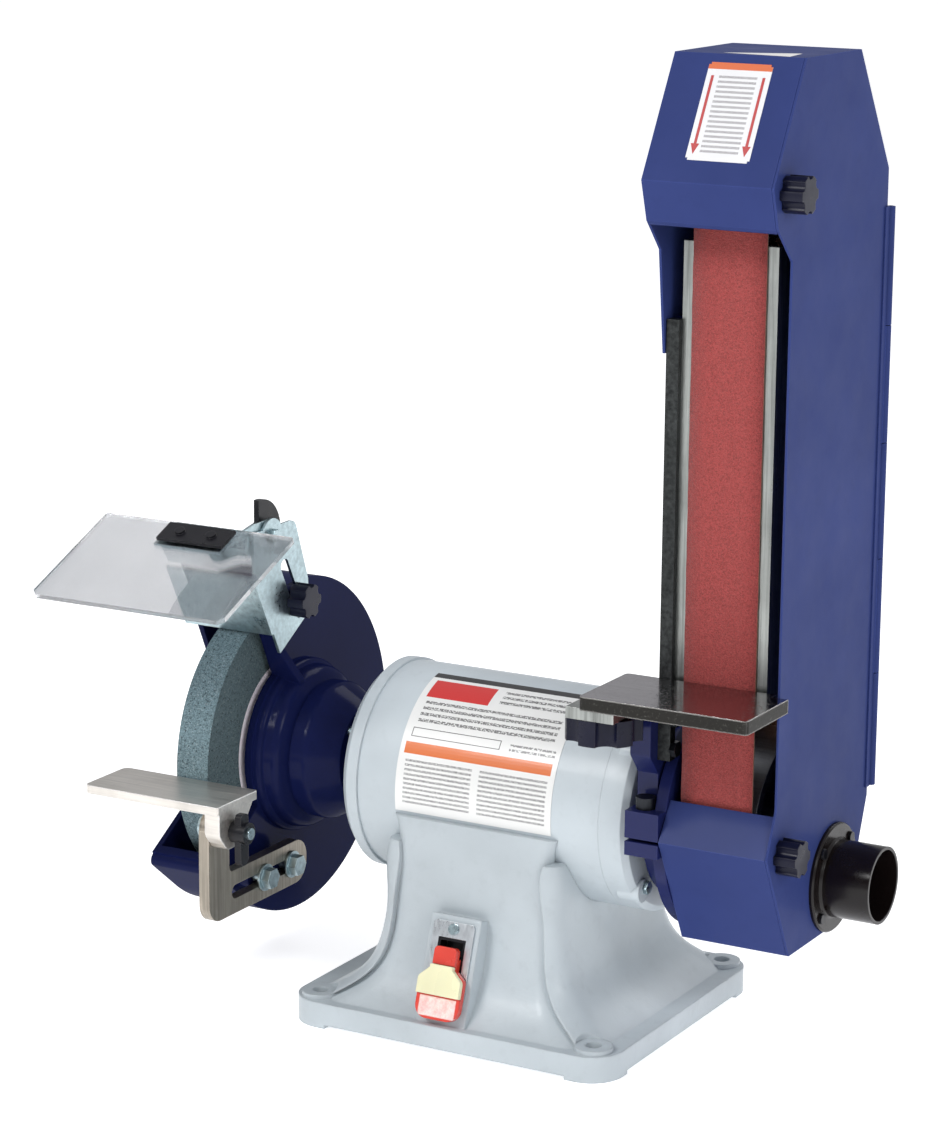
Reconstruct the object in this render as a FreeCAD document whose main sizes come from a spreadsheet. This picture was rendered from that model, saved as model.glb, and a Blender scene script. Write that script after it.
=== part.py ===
"""Bench grinder and belt grinder on one spindle, as an assembly of separate pieces.

Frame: millimetres. +X runs along the spindle from the grinding wheel to the belt, +Y points to the back
of the machine and +Z up. The origin is the centre of the pedestal's underside.
"""
import FreeCAD, Part
import math
import os
import re
import Sketcher

Vector = FreeCAD.Vector
Rotation = FreeCAD.Rotation

# ---------------------------------------------------------------- driving dimensions

SIZES = {
    "general": {
        "axis_z": 160.5,            # height of the spindle's axis
        "gap": 0.3,                 # clearance between pieces that move past each other
        "fit": 0.05,                # radial clearance of a running fit
        "past": 2,                  # how far a cutting shape runs past the face it cuts
    },
    "spindle": {
        "wheel_left": -219.3, "wheel_wide": 25.4, "wheel_r": 101.6, "arbor_r": 7.94,
        "blotter_r": 62.6, "blotter_thick": 0.8,
        "flange_r": 46, "flange_thick": 6, "flange_relief_r": 34, "flange_relief": 1.5,
        "collar_r": 15, "collar_right": -175,
        "nut_flats": 24, "wheel_nut_thick": 8, "stub_end": 1,
        "seat_r": 8.5, "core_r": 12, "rotor_half": 44, "rotor_r": 36,
        "bearing_wide": 12, "bearing_left": -106, "bearing_right": 98,
        "bearing_outer_r": 20, "race_outer_r": 17, "race_inner_r": 11.5,
        "ball_r": 3.4, "balls": 8,
        "drive_left": 148, "drive_wide": 50.8, "drive_r": 63.2, "drive_rim": 7, "drive_web": 9,
        "drive_hub_r": 19, "drive_nut_thick": 8, "shaft_right": 211,
    },
    "motor": {
        "shell_r": 72, "shell_wall": 5, "shell_left": -92, "shell_right": 92,
        "left_rim_r": 73.5, "left_rim": 13, "bell_wall": 5,
        "left_boss_r": 44, "left_boss_end": -117,
        "right_rim_end": 112, "nose_r": 40, "nose_end": 144,
        "lug_r": 8, "lug_at": 66, "lug_long": 14,
        "stator_bore": 36.8, "stator_half": 46,
        "winding_outer": 60, "winding_inner": 42, "winding_long": 20,
        "tie_r": 2.5, "tie_at": 63,
    },
    "pedestal": {
        "base_half_x": 123, "base_half_y": 115, "base_high": 18, "base_round": 24, "foot_gap": 2.5,
        "foot_half_x": 92, "foot_half_y": 84,
        "lug_x": 105, "lug_y": 98, "bolt_r": 5.5, "bolt_boss_r": 13, "bolt_boss": 3,
        "wall": 8, "hollow_top": 78,
        "cover_half_x": 100, "cover_half_y": 95, "cover_round": 30, "cover_thick": 1.5, "cover_recess": 3,
        "cover_screw_x": 96, "cover_screw_y": 40, "screw_r": 1.8, "screw_head_r": 3.6,
        "gland_x": -30, "gland_z": 50, "gland_boss_r": 15, "gland_boss_end": 97, "gland_hole_r": 8,
        "gland_bore_r": 4.5, "gland_nut_r": 12, "gland_nut": 9,
        "cap_r": 18, "cap_long": 76, "cap_x": -38, "cap_y": 26, "cap_z": 34, "clip_wide": 12,
        "clip_thick": 1.5,
    },
    "switch": {
        "lean": 18, "switch_x": -5, "switch_y": -96.5, "switch_z": 57,
        "boss_wide": 38, "boss_low": 44, "boss_top": 32, "boss_deep": 40, "plate_wide": 31,
        "plate_high": 56,
        "plate_thick": 1.5, "window_wide": 21, "window_high": 34, "body_deep": 24,
        "paddle_wide": 17, "paddle_low": -38, "paddle_top": 11, "paddle_thick": 5, "paddle_flare": 33,
        "stem_r": 4, "key_wide": 32.4, "key_low": -22, "key_thick": 4, "rivet_r": 2.2,
    },
    "guard": {
        "guard_wall_left": -189, "guard_wall": 6, "guard_r": 120, "band_thick": 7,
        "cover_left": -240, "cover_plate": 4, "open_low": -31, "open_high": 64,
        "mouth_r": 62.8, "cover_mouth_r": 50, "recess_r": 50, "recess_end": -172, "hub_r": 62,
        "dome_r": 58.5, "crease_x": -162.5, "crease_r": 47, "dome_end": -128, "dome_end_r": 38, "neck_r": 26,
        "neck_bore_r": 20, "rib_thick": 6, "rib_x": -178, "rib_hub_x": -166, "lip_r": 127, "lip_round": 6,
        "guard_screw_r": 2, "guard_screw_at": 116.4,
        "mount_bolt_r": 3.5, "mount_bolt_at": 31,
        "rest_boss_r": 9,
    },
    "rest": {
        "bar_left": -172, "bar_thick": 8, "leg_front": -146, "leg_wide": 25, "arm_low": 70, "arm_high": 101,
        "arm_back": -22, "arm_round": 14, "slot_front": -118, "slot_back": -31, "slot_half": 5,
        "slot_z": 85.5,
        "pivot_y": -133.5, "pivot_z": 136, "pivot_bolt_r": 4,
        "hex_front": -76.6, "hex_back": -42, "hex_r": 4, "hex_flats": 13, "hex_high": 6, "washer_r": 9.5,
        "washer_thick": 1.5,
        "plate_left": -261, "plate_right": -152, "plate_front": -153, "plate_back": -103.5, "rest_top": 157,
        "rest_thick": 6, "rest_lug_low": 124.5,
        "lever_hub_r": 7.5, "lever_hub": 12, "lever_up": 13, "lever_down": 23, "lever_thick": 5,
        "lever_half": 4.5,
    },
    "arrestor": {
        "shield_angle": 28,         # lean of the arrestor's radial plane from upright
        "front_low": 104, "front_high": 153, "front_left": -245, "flange_left": -175.5, "sheet": 2.2,
        "slot_y": 34, "slot_low": 96.5, "slot_high": 142, "stud_up": 107, "stud_r": 3, "arrestor_slot": 5,
        "stud_left": -188, "knob_r": 12, "knob_long": 13,
        "eye_y": -50, "eye_z": 321, "eye_bolt_r": 3, "eye_lug_r": 13,
        "eye_hub_r": 9, "eye_hub": 9, "eye_wing_r": 25, "eye_wing_thick": 4,
        "pane_left": -283, "pane_right": -130, "pane_back": -89, "pane_back_z": 330, "pane_deep": 98,
        "pane_thick": 3.5, "pane_slope": 23.4, "pane_clip": 4,
        "clamp_left": -227, "clamp_right": -174, "clamp_deep": 19, "clamp_thick": 2.5, "clamp_in": 4,
        "tab_thick": 2.4,
    },
    "arm": {
        "ring_left": 117.5, "ring_right": 141.5, "ring_r": 58, "disc_left": 134, "disc_right": 142,
        "disc_r": 76,
        "ear_front": -84, "ear_low": 150, "ear_high": 180, "slit": 2.5,
        "clamp_x": 127, "clamp_y": -73, "clamp_r": 4, "clamp_head_r": 6.5, "clamp_head": 8,
        "column_right": 132, "column_front": -78, "column_neck": -66, "column_back": -50, "shelf_z": 250,
        "bar_low": 212, "bar_high": 500, "bar_front": -67.5, "bar_back": -60, "bar_wide": 8.8,
        "platen_right": 206, "platen_low": 251, "platen_high": 550, "platen_back": -56.5,
        "platen_fold": -46, "fold_thick": 2.5,
        "belt_thick": 1.2, "belt_r": 63.5, "idler_r": 38.1, "idler_y": -25.4, "idler_up": 448.5,
        "idler_axle_r": 6, "idler_rim": 6, "idler_web": 8, "idler_hub_r": 14,
        "yoke_thick": 4, "yoke_gap": 1.2, "yoke_half": 12, "yoke_low": 552, "yoke_bridge": 8,
        "post_x": 173.4, "post_r": 9, "post_low": 470, "guide_low": 480, "guide_high": 522,
        "guide_half": 18,
        "spring_wire": 1.5, "spring_coils": 5,
        "tracking_r": 13, "tracking_long": 12, "tracking_stud_r": 3,
    },
    "hood": {
        "hood_left": 129.7, "door_left": 217.6, "door_thick": 1.5, "steel": 1.6,
        "top_z": 666.3, "top_front": -59.3, "top_back": 25, "back_y": 77, "back_top": 587, "back_low": 165,
        "bottom_z": 87, "bottom_half": 46, "crease_y": -103, "crease_z": 590.8, "lip_y": -94.6,
        "lip_z": 564.8,
        "cheek_y": -76.3, "cheek_z": 545, "cheek_front": -68, "cheek_low": 478,
        "door_front": -72, "door_high": 543, "panel_y": -68, "panel_z": 186.5, "belly_y": -85,
        "belly_z": 162,
        "panel_left": 142.3,
        "pivot_x": 219.4, "pivot_door_y": 81, "pin_r": 1.5, "knuckle_r": 3.2, "leaf_lap": 5,
        "hinge_low": 171, "hinge_high": 562,
        "knuckles": 5, "leaf_thick": 1.2, "leaf_wide": 22,
        "latch_r": 12, "latch_long": 15, "latch_stud_r": 3, "latch_hole_r": 6, "latch_reach": 4,
        "latch_high_y": -83, "latch_high_z": 586, "latch_low_y": -63.5, "latch_low_z": 160,
        "tab_half": 13, "tab_x": 214.6,
        "port_y": 20.4, "port_z": 122.6, "port_flange_r": 37, "port_flange": 3, "port_r": 26,
        "port_wall": 2.2,
        "port_end": 256, "port_screw_at": 31.5, "port_bead": 2,
    },
    "table": {
        "table_left": 109, "table_right": 226, "table_front": -136, "table_back": -68, "table_top": 267,
        "table_thick": 9, "notch_x": 214.5, "notch_y": -74.6,
        "shelf_left": 97, "shelf_right": 131, "shelf_front": -130, "shelf_back": -50, "shelf_thick": 7.6,
        "stud_x": 112, "stud_y": -105, "table_stud_r": 4, "shelf_slot": 4.6, "slot_travel": 15,
        "table_knob_r": 25, "table_knob_thick": 17,
    },
}

doc = FreeCAD.newDocument("BeltGrinder")
sheet = doc.addObject("Spreadsheet::Sheet", "dim")
aliases = set()
row = 0
for section, values in SIZES.items():
    row += 1
    sheet.set("A%d" % row, section)
    for alias, value in values.items():
        row += 1
        sheet.set("A%d" % row, alias)
        sheet.set("B%d" % row, str(value))
        sheet.setAlias("B%d" % row, alias)
        aliases.add(alias)
doc.recompute()

# ---------------------------------------------------------------- helpers


def linked(text):
    """An expression in which every word that names a dimension points to its cell."""
    def point(match):
        word = match.group(0)
        return "dim." + word if word in aliases else word
    return re.sub(r"[A-Za-z_][A-Za-z0-9_]*", point, str(text))


def number(text):
    """The present value of an expression."""
    return float(sheet.evalExpression(linked(text)))


def bind(thing, path, text):
    thing.setExpression(path, linked(text))


AXIS_TURN = {
    "x": Rotation(Vector(0, 1, 0), 90),
    "y": Rotation(Vector(1, 0, 0), -90),
    "z": Rotation(),
}


def place(thing, at, turn=None):
    """Put a thing at an expression point, with a fixed rotation."""
    if turn is not None:
        thing.Placement = FreeCAD.Placement(Vector(0, 0, 0), turn)
    for letter, text in zip("xyz", at):
        bind(thing, "Placement.Base." + letter, text)
    return thing


def lean(thing, at, angle):
    """Put a thing at a point, turned about the X direction by an expression angle."""
    thing.Placement = FreeCAD.Placement(Vector(0, 0, 0), Rotation(Vector(1, 0, 0), number(angle)))
    bind(thing, "Placement.Rotation.Angle", angle)
    for letter, text in zip("xyz", at):
        bind(thing, "Placement.Base." + letter, text)
    return thing


def block(name, low, high):
    """A box between two corners, each three expressions."""
    thing = doc.addObject("Part::Box", name)
    for prop, a, b in zip(("Length", "Width", "Height"), low, high):
        bind(thing, prop, "(%s) - (%s)" % (b, a))
    return place(thing, low)


def rod(name, radius, start, end, middle, axis="x"):
    """A cylinder along one axis from start to end. middle gives its place on the other two axes."""
    thing = doc.addObject("Part::Cylinder", name)
    bind(thing, "Radius", radius)
    bind(thing, "Height", "(%s) - (%s)" % (end, start))
    a, b = middle
    at = {"x": (start, a, b), "y": (a, start, b), "z": (a, b, start)}[axis]
    return place(thing, at, AXIS_TURN[axis])


def cut(name, base, *tools):
    thing = doc.addObject("Part::Cut", name)
    thing.Base = base
    thing.Tool = tools[0] if len(tools) == 1 else fuse(name + "_tools", *tools)
    return thing


def fuse(name, *pieces):
    thing = doc.addObject("Part::MultiFuse", name)
    thing.Shapes = list(pieces)
    thing.Refine = True
    return thing


def common(name, *pieces):
    thing = doc.addObject("Part::MultiCommon", name)
    thing.Shapes = list(pieces)
    return thing


def group(name, *pieces):
    """Several equal solids kept together as one sub-part."""
    thing = doc.addObject("Part::Compound", name)
    thing.Links = list(pieces)
    return thing


def tube(name, outer, inner, start, end, middle, axis="x"):
    return cut(name, rod(name + "_outside", outer, start, end, middle, axis),
               rod(name + "_bore", inner, "(%s) - past" % start, "(%s) + past" % end, middle, axis))


def plane_of(body, role):
    return next(item for item in body.Origin.OriginFeatures if item.Role == role)


def sketch_in(body, name, role, height="0"):
    sketch = body.newObject("Sketcher::SketchObject", name)
    sketch.AttachmentSupport = [(plane_of(body, role), "")]
    sketch.MapMode = "FlatFace"
    bind(sketch, "AttachmentOffset.Base.z", height)
    return sketch


def pin_point(sketch, item, spot, point):
    """Fix a sketch point at two expressions."""
    for kind, text in zip(("DistanceX", "DistanceY"), point):
        index = sketch.addConstraint(Sketcher.Constraint(kind, item, spot, number(text)))
        bind(sketch, "Constraints[%d]" % index, text)


def corner_arc(before, corner, after, radius):
    """Tangent points, centre and angles of the arc that rounds a corner."""
    to_before = (before - corner).normalize()
    to_after = (after - corner).normalize()
    half = to_before.getAngle(to_after) / 2
    reach = radius / math.tan(half)
    start = corner + to_before * reach
    end = corner + to_after * reach
    centre = corner + (to_before + to_after).normalize() * (radius / math.sin(half))
    return start, end, centre


def outline(sketch, corners):
    """Close a polygon in a sketch. A corner is (x, y) or (x, y, radius), each an expression."""
    points = [Vector(number(c[0]), number(c[1]), 0) for c in corners]
    count = len(corners)
    joints = []
    for i, corner in enumerate(corners):
        if len(corner) == 3:
            joints.append(corner_arc(points[i - 1], points[i], points[(i + 1) % count], number(corner[2])))
        else:
            joints.append((points[i], points[i], None))
    lines = []
    for i in range(count):
        ahead = (i + 1) % count
        lines.append(sketch.addGeometry(Part.LineSegment(joints[i][1], joints[ahead][0]), False))
    for i, corner in enumerate(corners):
        start, end, centre = joints[i]
        behind, ahead = lines[i - 1], lines[i]
        if centre is None:
            sketch.addConstraint(Sketcher.Constraint("Coincident", behind, 2, ahead, 1))
            pin_point(sketch, ahead, 1, corner[:2])
            continue
        turn_left = (points[i] - points[i - 1]).cross(points[(i + 1) % count] - points[i]).z > 0
        first, last = (start, end) if turn_left else (end, start)
        angles = [math.atan2(p.y - centre.y, p.x - centre.x) for p in (first, last)]
        circle = Part.Circle(centre, Vector(0, 0, 1), number(corner[2]))
        arc = sketch.addGeometry(Part.ArcOfCircle(circle, angles[0], angles[1]), False)
        head, tail = (1, 2) if turn_left else (2, 1)
        sketch.addConstraint(Sketcher.Constraint("Tangent", behind, 2, arc, head))
        sketch.addConstraint(Sketcher.Constraint("Tangent", arc, tail, ahead, 1))
        index = sketch.addConstraint(Sketcher.Constraint("Radius", arc, number(corner[2])))
        bind(sketch, "Constraints[%d]" % index, corner[2])
        tip = sketch.addGeometry(Part.Point(points[i]), True)
        sketch.addConstraint(Sketcher.Constraint("PointOnObject", tip, 1, behind))
        sketch.addConstraint(Sketcher.Constraint("PointOnObject", tip, 1, ahead))
        pin_point(sketch, tip, 1, corner[:2])


def profile(name, role, corners, length, at=("0", "0", "0")):
    """An outline in one of the three main planes, padded along that plane's normal."""
    body = doc.addObject("PartDesign::Body", name)
    sketch = sketch_in(body, name + "_sketch", role)
    outline(sketch, corners)
    pad = body.newObject("PartDesign::Pad", name + "_pad")
    pad.Profile = sketch
    bind(pad, "Length", length)
    return place(body, at)


def side_plate(name, corners, start, end, up="0"):
    """A plate whose outline lies in Y and Z and that runs along X from start to end."""
    return profile(name, "YZ_Plane", corners, "(%s) - (%s)" % (end, start), (start, "0", up))


def turned(name, corners):
    """A piece turned about the spindle's axis. Corners are (x, radius)."""
    body = doc.addObject("PartDesign::Body", name)
    sketch = sketch_in(body, name + "_sketch", "XZ_Plane")
    outline(sketch, corners)
    spin = body.newObject("PartDesign::Revolution", name + "_turn")
    spin.Profile = sketch
    spin.ReferenceAxis = (plane_of(body, "X_Axis"), [""])
    spin.Angle = 360
    return place(body, ("0", "0", "axis_z"))


def polar(radius, angle, middle=("0", "axis_z")):
    """A point at an angle above the front horizontal, seen along the spindle."""
    return ("%s - (%s) * cos(%s)" % (middle[0], radius, angle),
            "%s + (%s) * sin(%s)" % (middle[1], radius, angle))


def wedge(name, low, high, start, end):
    """The sector of the space round the spindle between two angles above the front horizontal."""
    angles = [low, "((%s) + (%s)) / 2" % (low, high), high]
    rim = [polar("2 * guard_r", angle, ("0", "0")) for angle in angles]
    return side_plate(name, [("0", "0")] + rim, start, end, "axis_z")


def lobed_knob(name, radius, length, bore, at, turn):
    """A knob with six scallops round its rim and a blind bore for its stud."""
    blank = rod(name + "_blank", radius, "0", length, ("0", "0"))
    scallops = []
    for step in range(6):
        angle = 60 * step + 30
        middle = ("(%s) * 1.1 * cos(%d)" % (radius, angle), "(%s) * 1.1 * sin(%d)" % (radius, angle))
        scallops.append(rod("%s_scallop_%d" % (name, step), "(%s) * 0.31" % radius,
                            "0 - past", "(%s) + past" % length, middle))
    hole = rod(name + "_hole", bore, "0 - past", "(%s) * 0.7" % length, ("0", "0"))
    return place(cut(name, blank, hole, *scallops), at, turn)


def hexagon(name, flats, start, end, middle):
    """A hexagonal prism along X."""
    corners = []
    for step in range(6):
        angle = 60 * step
        corners.append(("(%s) / sqrt(3) * cos(%d)" % (flats, angle),
                        "(%s) / sqrt(3) * sin(%d)" % (flats, angle)))
    return profile(name, "YZ_Plane", corners, "(%s) - (%s)" % (end, start), (start,) + tuple(middle))


ON_AXIS = ("0", "axis_z")
nodes = []


def keep(thing, label):
    """Register a finished sub-part under its own name."""
    thing.Label = label
    nodes.append(thing)
    return thing


# ---------------------------------------------------------------- spindle


def make_spindle():
    wheel_right = "wheel_left + wheel_wide"
    flange_right = wheel_right + " + blotter_thick"
    stub = "wheel_left - blotter_thick - flange_thick - wheel_nut_thick - stub_end"
    keep(turned("Shaft", [
        (stub, "0"), (stub, "arbor_r"), ("collar_right", "arbor_r"), ("collar_right", "seat_r"),
        ("bearing_left + bearing_wide", "seat_r"), ("bearing_left + bearing_wide", "core_r"),
        ("bearing_right", "core_r"), ("bearing_right", "seat_r"), ("nose_end", "seat_r"),
        ("nose_end", "arbor_r"), ("shaft_right", "arbor_r"), ("shaft_right", "0"),
    ]), "spindle_shaft")
    keep(tube("Rotor", "rotor_r", "core_r", "0 - rotor_half", "rotor_half", ON_AXIS), "rotor_core")

    keep(tube("Wheel", "wheel_r", "arbor_r", "wheel_left", wheel_right, ON_AXIS), "grinding_wheel")
    keep(group("Blotters",
               tube("BlotterLeft", "blotter_r", "arbor_r", "wheel_left - blotter_thick", "wheel_left",
                    ON_AXIS),
               tube("BlotterRight", "blotter_r", "arbor_r", wheel_right, flange_right, ON_AXIS)),
               "wheel_blotters")
    inner_back = flange_right + " + flange_thick"
    inner_flange = turned("InnerFlange", [
        (flange_right, "flange_relief_r"), (flange_right, "flange_r"), (inner_back, "flange_r"),
        (inner_back, "collar_r"), ("collar_right", "collar_r"), ("collar_right", "arbor_r"),
        (flange_right + " + flange_relief", "arbor_r"),
        (flange_right + " + flange_relief", "flange_relief_r"),
    ])
    outer_face = "wheel_left - blotter_thick"
    outer_back = outer_face + " - flange_thick"
    outer_flange = turned("OuterFlange", [
        (outer_face, "flange_relief_r"), (outer_face, "flange_r"), (outer_back, "flange_r - 4"),
        (outer_back, "arbor_r"), (outer_face + " - flange_relief", "arbor_r"),
        (outer_face + " - flange_relief", "flange_relief_r"),
    ])
    keep(group("Flanges", inner_flange, outer_flange), "wheel_flanges")

    drive_right = "drive_left + drive_wide"
    web_left = "drive_left + drive_wide / 2 - drive_web / 2"
    web_right = "drive_left + drive_wide / 2 + drive_web / 2"
    rim_inner = "drive_r - drive_rim"
    crown = "drive_r - 0.6"
    keep(turned("DriveWheel", [
        ("nose_end + gap", "arbor_r"), (drive_right, "arbor_r"), (drive_right, "drive_hub_r"),
        (web_right, "drive_hub_r"), (web_right, rim_inner), (drive_right, rim_inner), (drive_right, crown),
        ("drive_left + drive_wide / 2", "drive_r"), ("drive_left", crown), ("drive_left", rim_inner),
        (web_left, rim_inner), (web_left, "drive_hub_r"), ("nose_end + gap", "drive_hub_r"),
    ]), "drive_wheel")

    def nut(name, start, end):
        return cut(name, hexagon(name + "Blank", "nut_flats", start, end, ON_AXIS),
                   rod(name + "Bore", "arbor_r", start + " - past", end + " + past", ON_AXIS))
    keep(group("SpindleNuts", nut("WheelNut", outer_back + " - wheel_nut_thick", outer_back),
               nut("DriveNut", drive_right, drive_right + " + drive_nut_thick")), "spindle_nuts")


def make_bearings():
    outer_rings, inner_rings, balls = [], [], []
    for side in ("left", "right"):
        start = "bearing_" + side
        end = start + " + bearing_wide"
        middle = start + " + bearing_wide / 2"
        track = doc.addObject("Part::Torus", "Track_" + side)
        bind(track, "Radius1", "(race_outer_r + race_inner_r) / 2")
        bind(track, "Radius2", "ball_r + fit")
        place(track, (middle,) + ON_AXIS, AXIS_TURN["x"])
        outer_rings.append(cut("OuterRing_" + side, tube("OuterRingBlank_" + side, "bearing_outer_r",
                                                         "race_outer_r - 1", start, end, ON_AXIS), track))
        inner_rings.append(cut("InnerRing_" + side, tube("InnerRingBlank_" + side, "race_inner_r + 1",
                                                         "seat_r", start, end, ON_AXIS), track))
        for step in range(int(number("balls"))):
            ball = doc.addObject("Part::Sphere", "Ball_%s_%d" % (side, step))
            bind(ball, "Radius", "ball_r")
            balls.append(place(ball,
                               (middle,) + polar("(race_outer_r + race_inner_r) / 2",
                                                 "%d * 360 / balls" % step)))
    keep(group("OuterRings", *outer_rings), "bearing_outer_rings")
    keep(group("InnerRings", *(inner_rings + balls)), "bearing_inner_rings_and_balls")


# ---------------------------------------------------------------- motor


def around(make, angles):
    """One piece for each angle."""
    return [make("%d" % index, str(angle)) for index, angle in enumerate(angles)]


TIE_ANGLES = (45, 135, 225, 315)


def make_motor():
    inner = "shell_r - shell_wall"
    keep(tube("MotorShell", "shell_r", inner, "shell_left", "shell_right", ON_AXIS), "motor_shell")

    tie_holes = around(lambda tag, angle: rod("TieHole" + tag, "tie_r", "shell_left - left_rim + 1",
                                              "right_rim_end + past", polar("tie_at", angle)), TIE_ANGLES)
    left_edge = "shell_left - left_rim"
    left_bell = turned("LeftBell", [
        ("left_boss_end", "core_r + 1"), ("left_boss_end", "left_boss_r"), (left_edge, "left_boss_r + 6"),
        (left_edge, "left_rim_r - 5"), (left_edge + " + 5", "left_rim_r"), ("shell_left", "left_rim_r"),
        ("shell_left", inner + " - 1"), (left_edge + " + bell_wall", inner + " - 1"),
        (left_edge + " + bell_wall", "bearing_outer_r + 5"),
        ("bearing_left + bearing_wide", "bearing_outer_r + 5"),
        ("bearing_left + bearing_wide", "bearing_outer_r"), ("bearing_left", "bearing_outer_r"),
        ("bearing_left", "core_r + 1"),
    ])

    def mount_hole(tag, angle):
        return rod("MountHole" + tag, "mount_bolt_r", "left_boss_end - past", "left_boss_end + 8",
                   polar("mount_bolt_at", angle))
    mount_holes = around(mount_hole, TIE_ANGLES)
    keep(cut("LeftBellDrilled", left_bell, *(tie_holes + mount_holes)), "left_end_bell")

    right_bell = turned("RightBell", [
        ("shell_right", inner + " - 1"), ("shell_right", "shell_r"), ("right_rim_end - 4", "shell_r"),
        ("right_rim_end", "shell_r - 4"), ("right_rim_end", "nose_r + 8"), ("right_rim_end + 4", "nose_r"),
        ("nose_end", "nose_r"), ("nose_end", "seat_r + 1.5"),
        ("bearing_right + bearing_wide", "seat_r + 1.5"),
        ("bearing_right + bearing_wide", "bearing_outer_r"),
        ("bearing_right", "bearing_outer_r"), ("bearing_right", "bearing_outer_r + 5"),
        ("right_rim_end - bell_wall", "bearing_outer_r + 5"), ("right_rim_end - bell_wall", inner + " - 1"),
    ])

    def lug(tag, angle):
        return rod("BellLug" + tag, "lug_r", "right_rim_end - lug_long", "right_rim_end + 2",
                   polar("lug_at", angle))

    def right_tie_hole(tag, angle):
        return rod("TieHoleRight" + tag, "tie_r", "shell_right - past", "right_rim_end + 2 * past",
                   polar("tie_at", angle))
    keep(cut("RightBellDrilled", fuse("RightBellBody", right_bell, *around(lug, TIE_ANGLES)),
             *around(right_tie_hole, TIE_ANGLES)), "right_end_bell")

    def tie_bolt(tag, angle):
        middle = polar("tie_at", angle)
        head = hexagon("TieHead" + tag, "3.2 * tie_r", "right_rim_end + 2", "right_rim_end + 5", middle)
        shank = rod("TieShank" + tag, "tie_r", left_edge + " + 1", "right_rim_end + 2", middle)
        return fuse("TieBolt" + tag, head, shank)
    keep(group("TieBolts", *around(tie_bolt, TIE_ANGLES)), "motor_tie_bolts")

    notches = around(lambda tag, angle: rod("StatorNotch" + tag, "tie_r + 2", "0 - stator_half - past",
                                            "stator_half + past", polar("tie_at", angle)), TIE_ANGLES)
    core = cut("Stator",
               tube("StatorRing", inner, "stator_bore", "0 - stator_half", "stator_half", ON_AXIS),
               *notches)
    keep(group("StatorParts", core,
               tube("WindingLeft", "winding_outer", "winding_inner", "0 - stator_half - winding_long",
                    "0 - stator_half", ON_AXIS),
               tube("WindingRight", "winding_outer", "winding_inner", "stator_half",
                    "stator_half + winding_long", ON_AXIS)), "stator_core_and_windings")


# ---------------------------------------------------------------- pedestal and switch

# height, half width, half depth and corner radius of the neck, from its foot to the motor
NECK = (
    ("base_high - 1", 108, 108, 24),
    ("26", 92, 99, 24),
    ("40", 76, 89, 20),
    ("62", 67, 81, 16),
    ("95", 63, 77, 12),
    ("147", 63, 76, 9),
)
RIDGES = (
    ("base_high - 1", 111, 110, 26),
    ("26", 97, 103, 26),
    ("40", 81, 93, 22),
    ("62", 72, 85, 18),
    ("95", 68, 81, 13),
    ("121", 67.5, 80, 10),
    ("130", 65, 78.5, 8),
)
PANELS = (
    ("base_high - 2", 99, 150, 3),
    ("26", 85, 150, 3),
    ("40", 69, 150, 3),
    ("62", 60, 150, 3),
    ("95", 56.5, 150, 3),
    ("134", 56, 150, 3),
)
HOLLOW = (
    ("0 - past", 92, 88, 26),
    ("20", 90, 88, 24),
    ("34", 72, 80, 18),
    ("54", 60, 73, 14),
    ("78", 55, 69, 10),
)


def rounded_rectangle(half_x, half_y, radius):
    return [("0 - (%s)" % half_x, "0 - (%s)" % half_y, radius), (half_x, "0 - (%s)" % half_y, radius),
            (half_x, half_y, radius), ("0 - (%s)" % half_x, half_y, radius)]


def lofted(name, stations):
    """A smooth solid through rounded rectangles at given heights."""
    body = doc.addObject("PartDesign::Body", name)
    sketches = []
    for index, (height, half_x, half_y, radius) in enumerate(stations):
        sketch = sketch_in(body, "%s_station_%d" % (name, index), "XY_Plane", height)
        outline(sketch, rounded_rectangle(str(half_x), str(half_y), str(radius)))
        sketches.append(sketch)
    loft = body.newObject("PartDesign::AdditiveLoft", name + "_loft")
    loft.Profile = sketches[0]
    loft.Sections = sketches[1:]
    return body


def corners_of(half_x, half_y):
    return [("%s(%s)" % (sx, half_x), "%s(%s)" % (sy, half_y)) for sx in ("0 - ", "") for sy in ("0 - ",
                                                                                                 "")]


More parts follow.
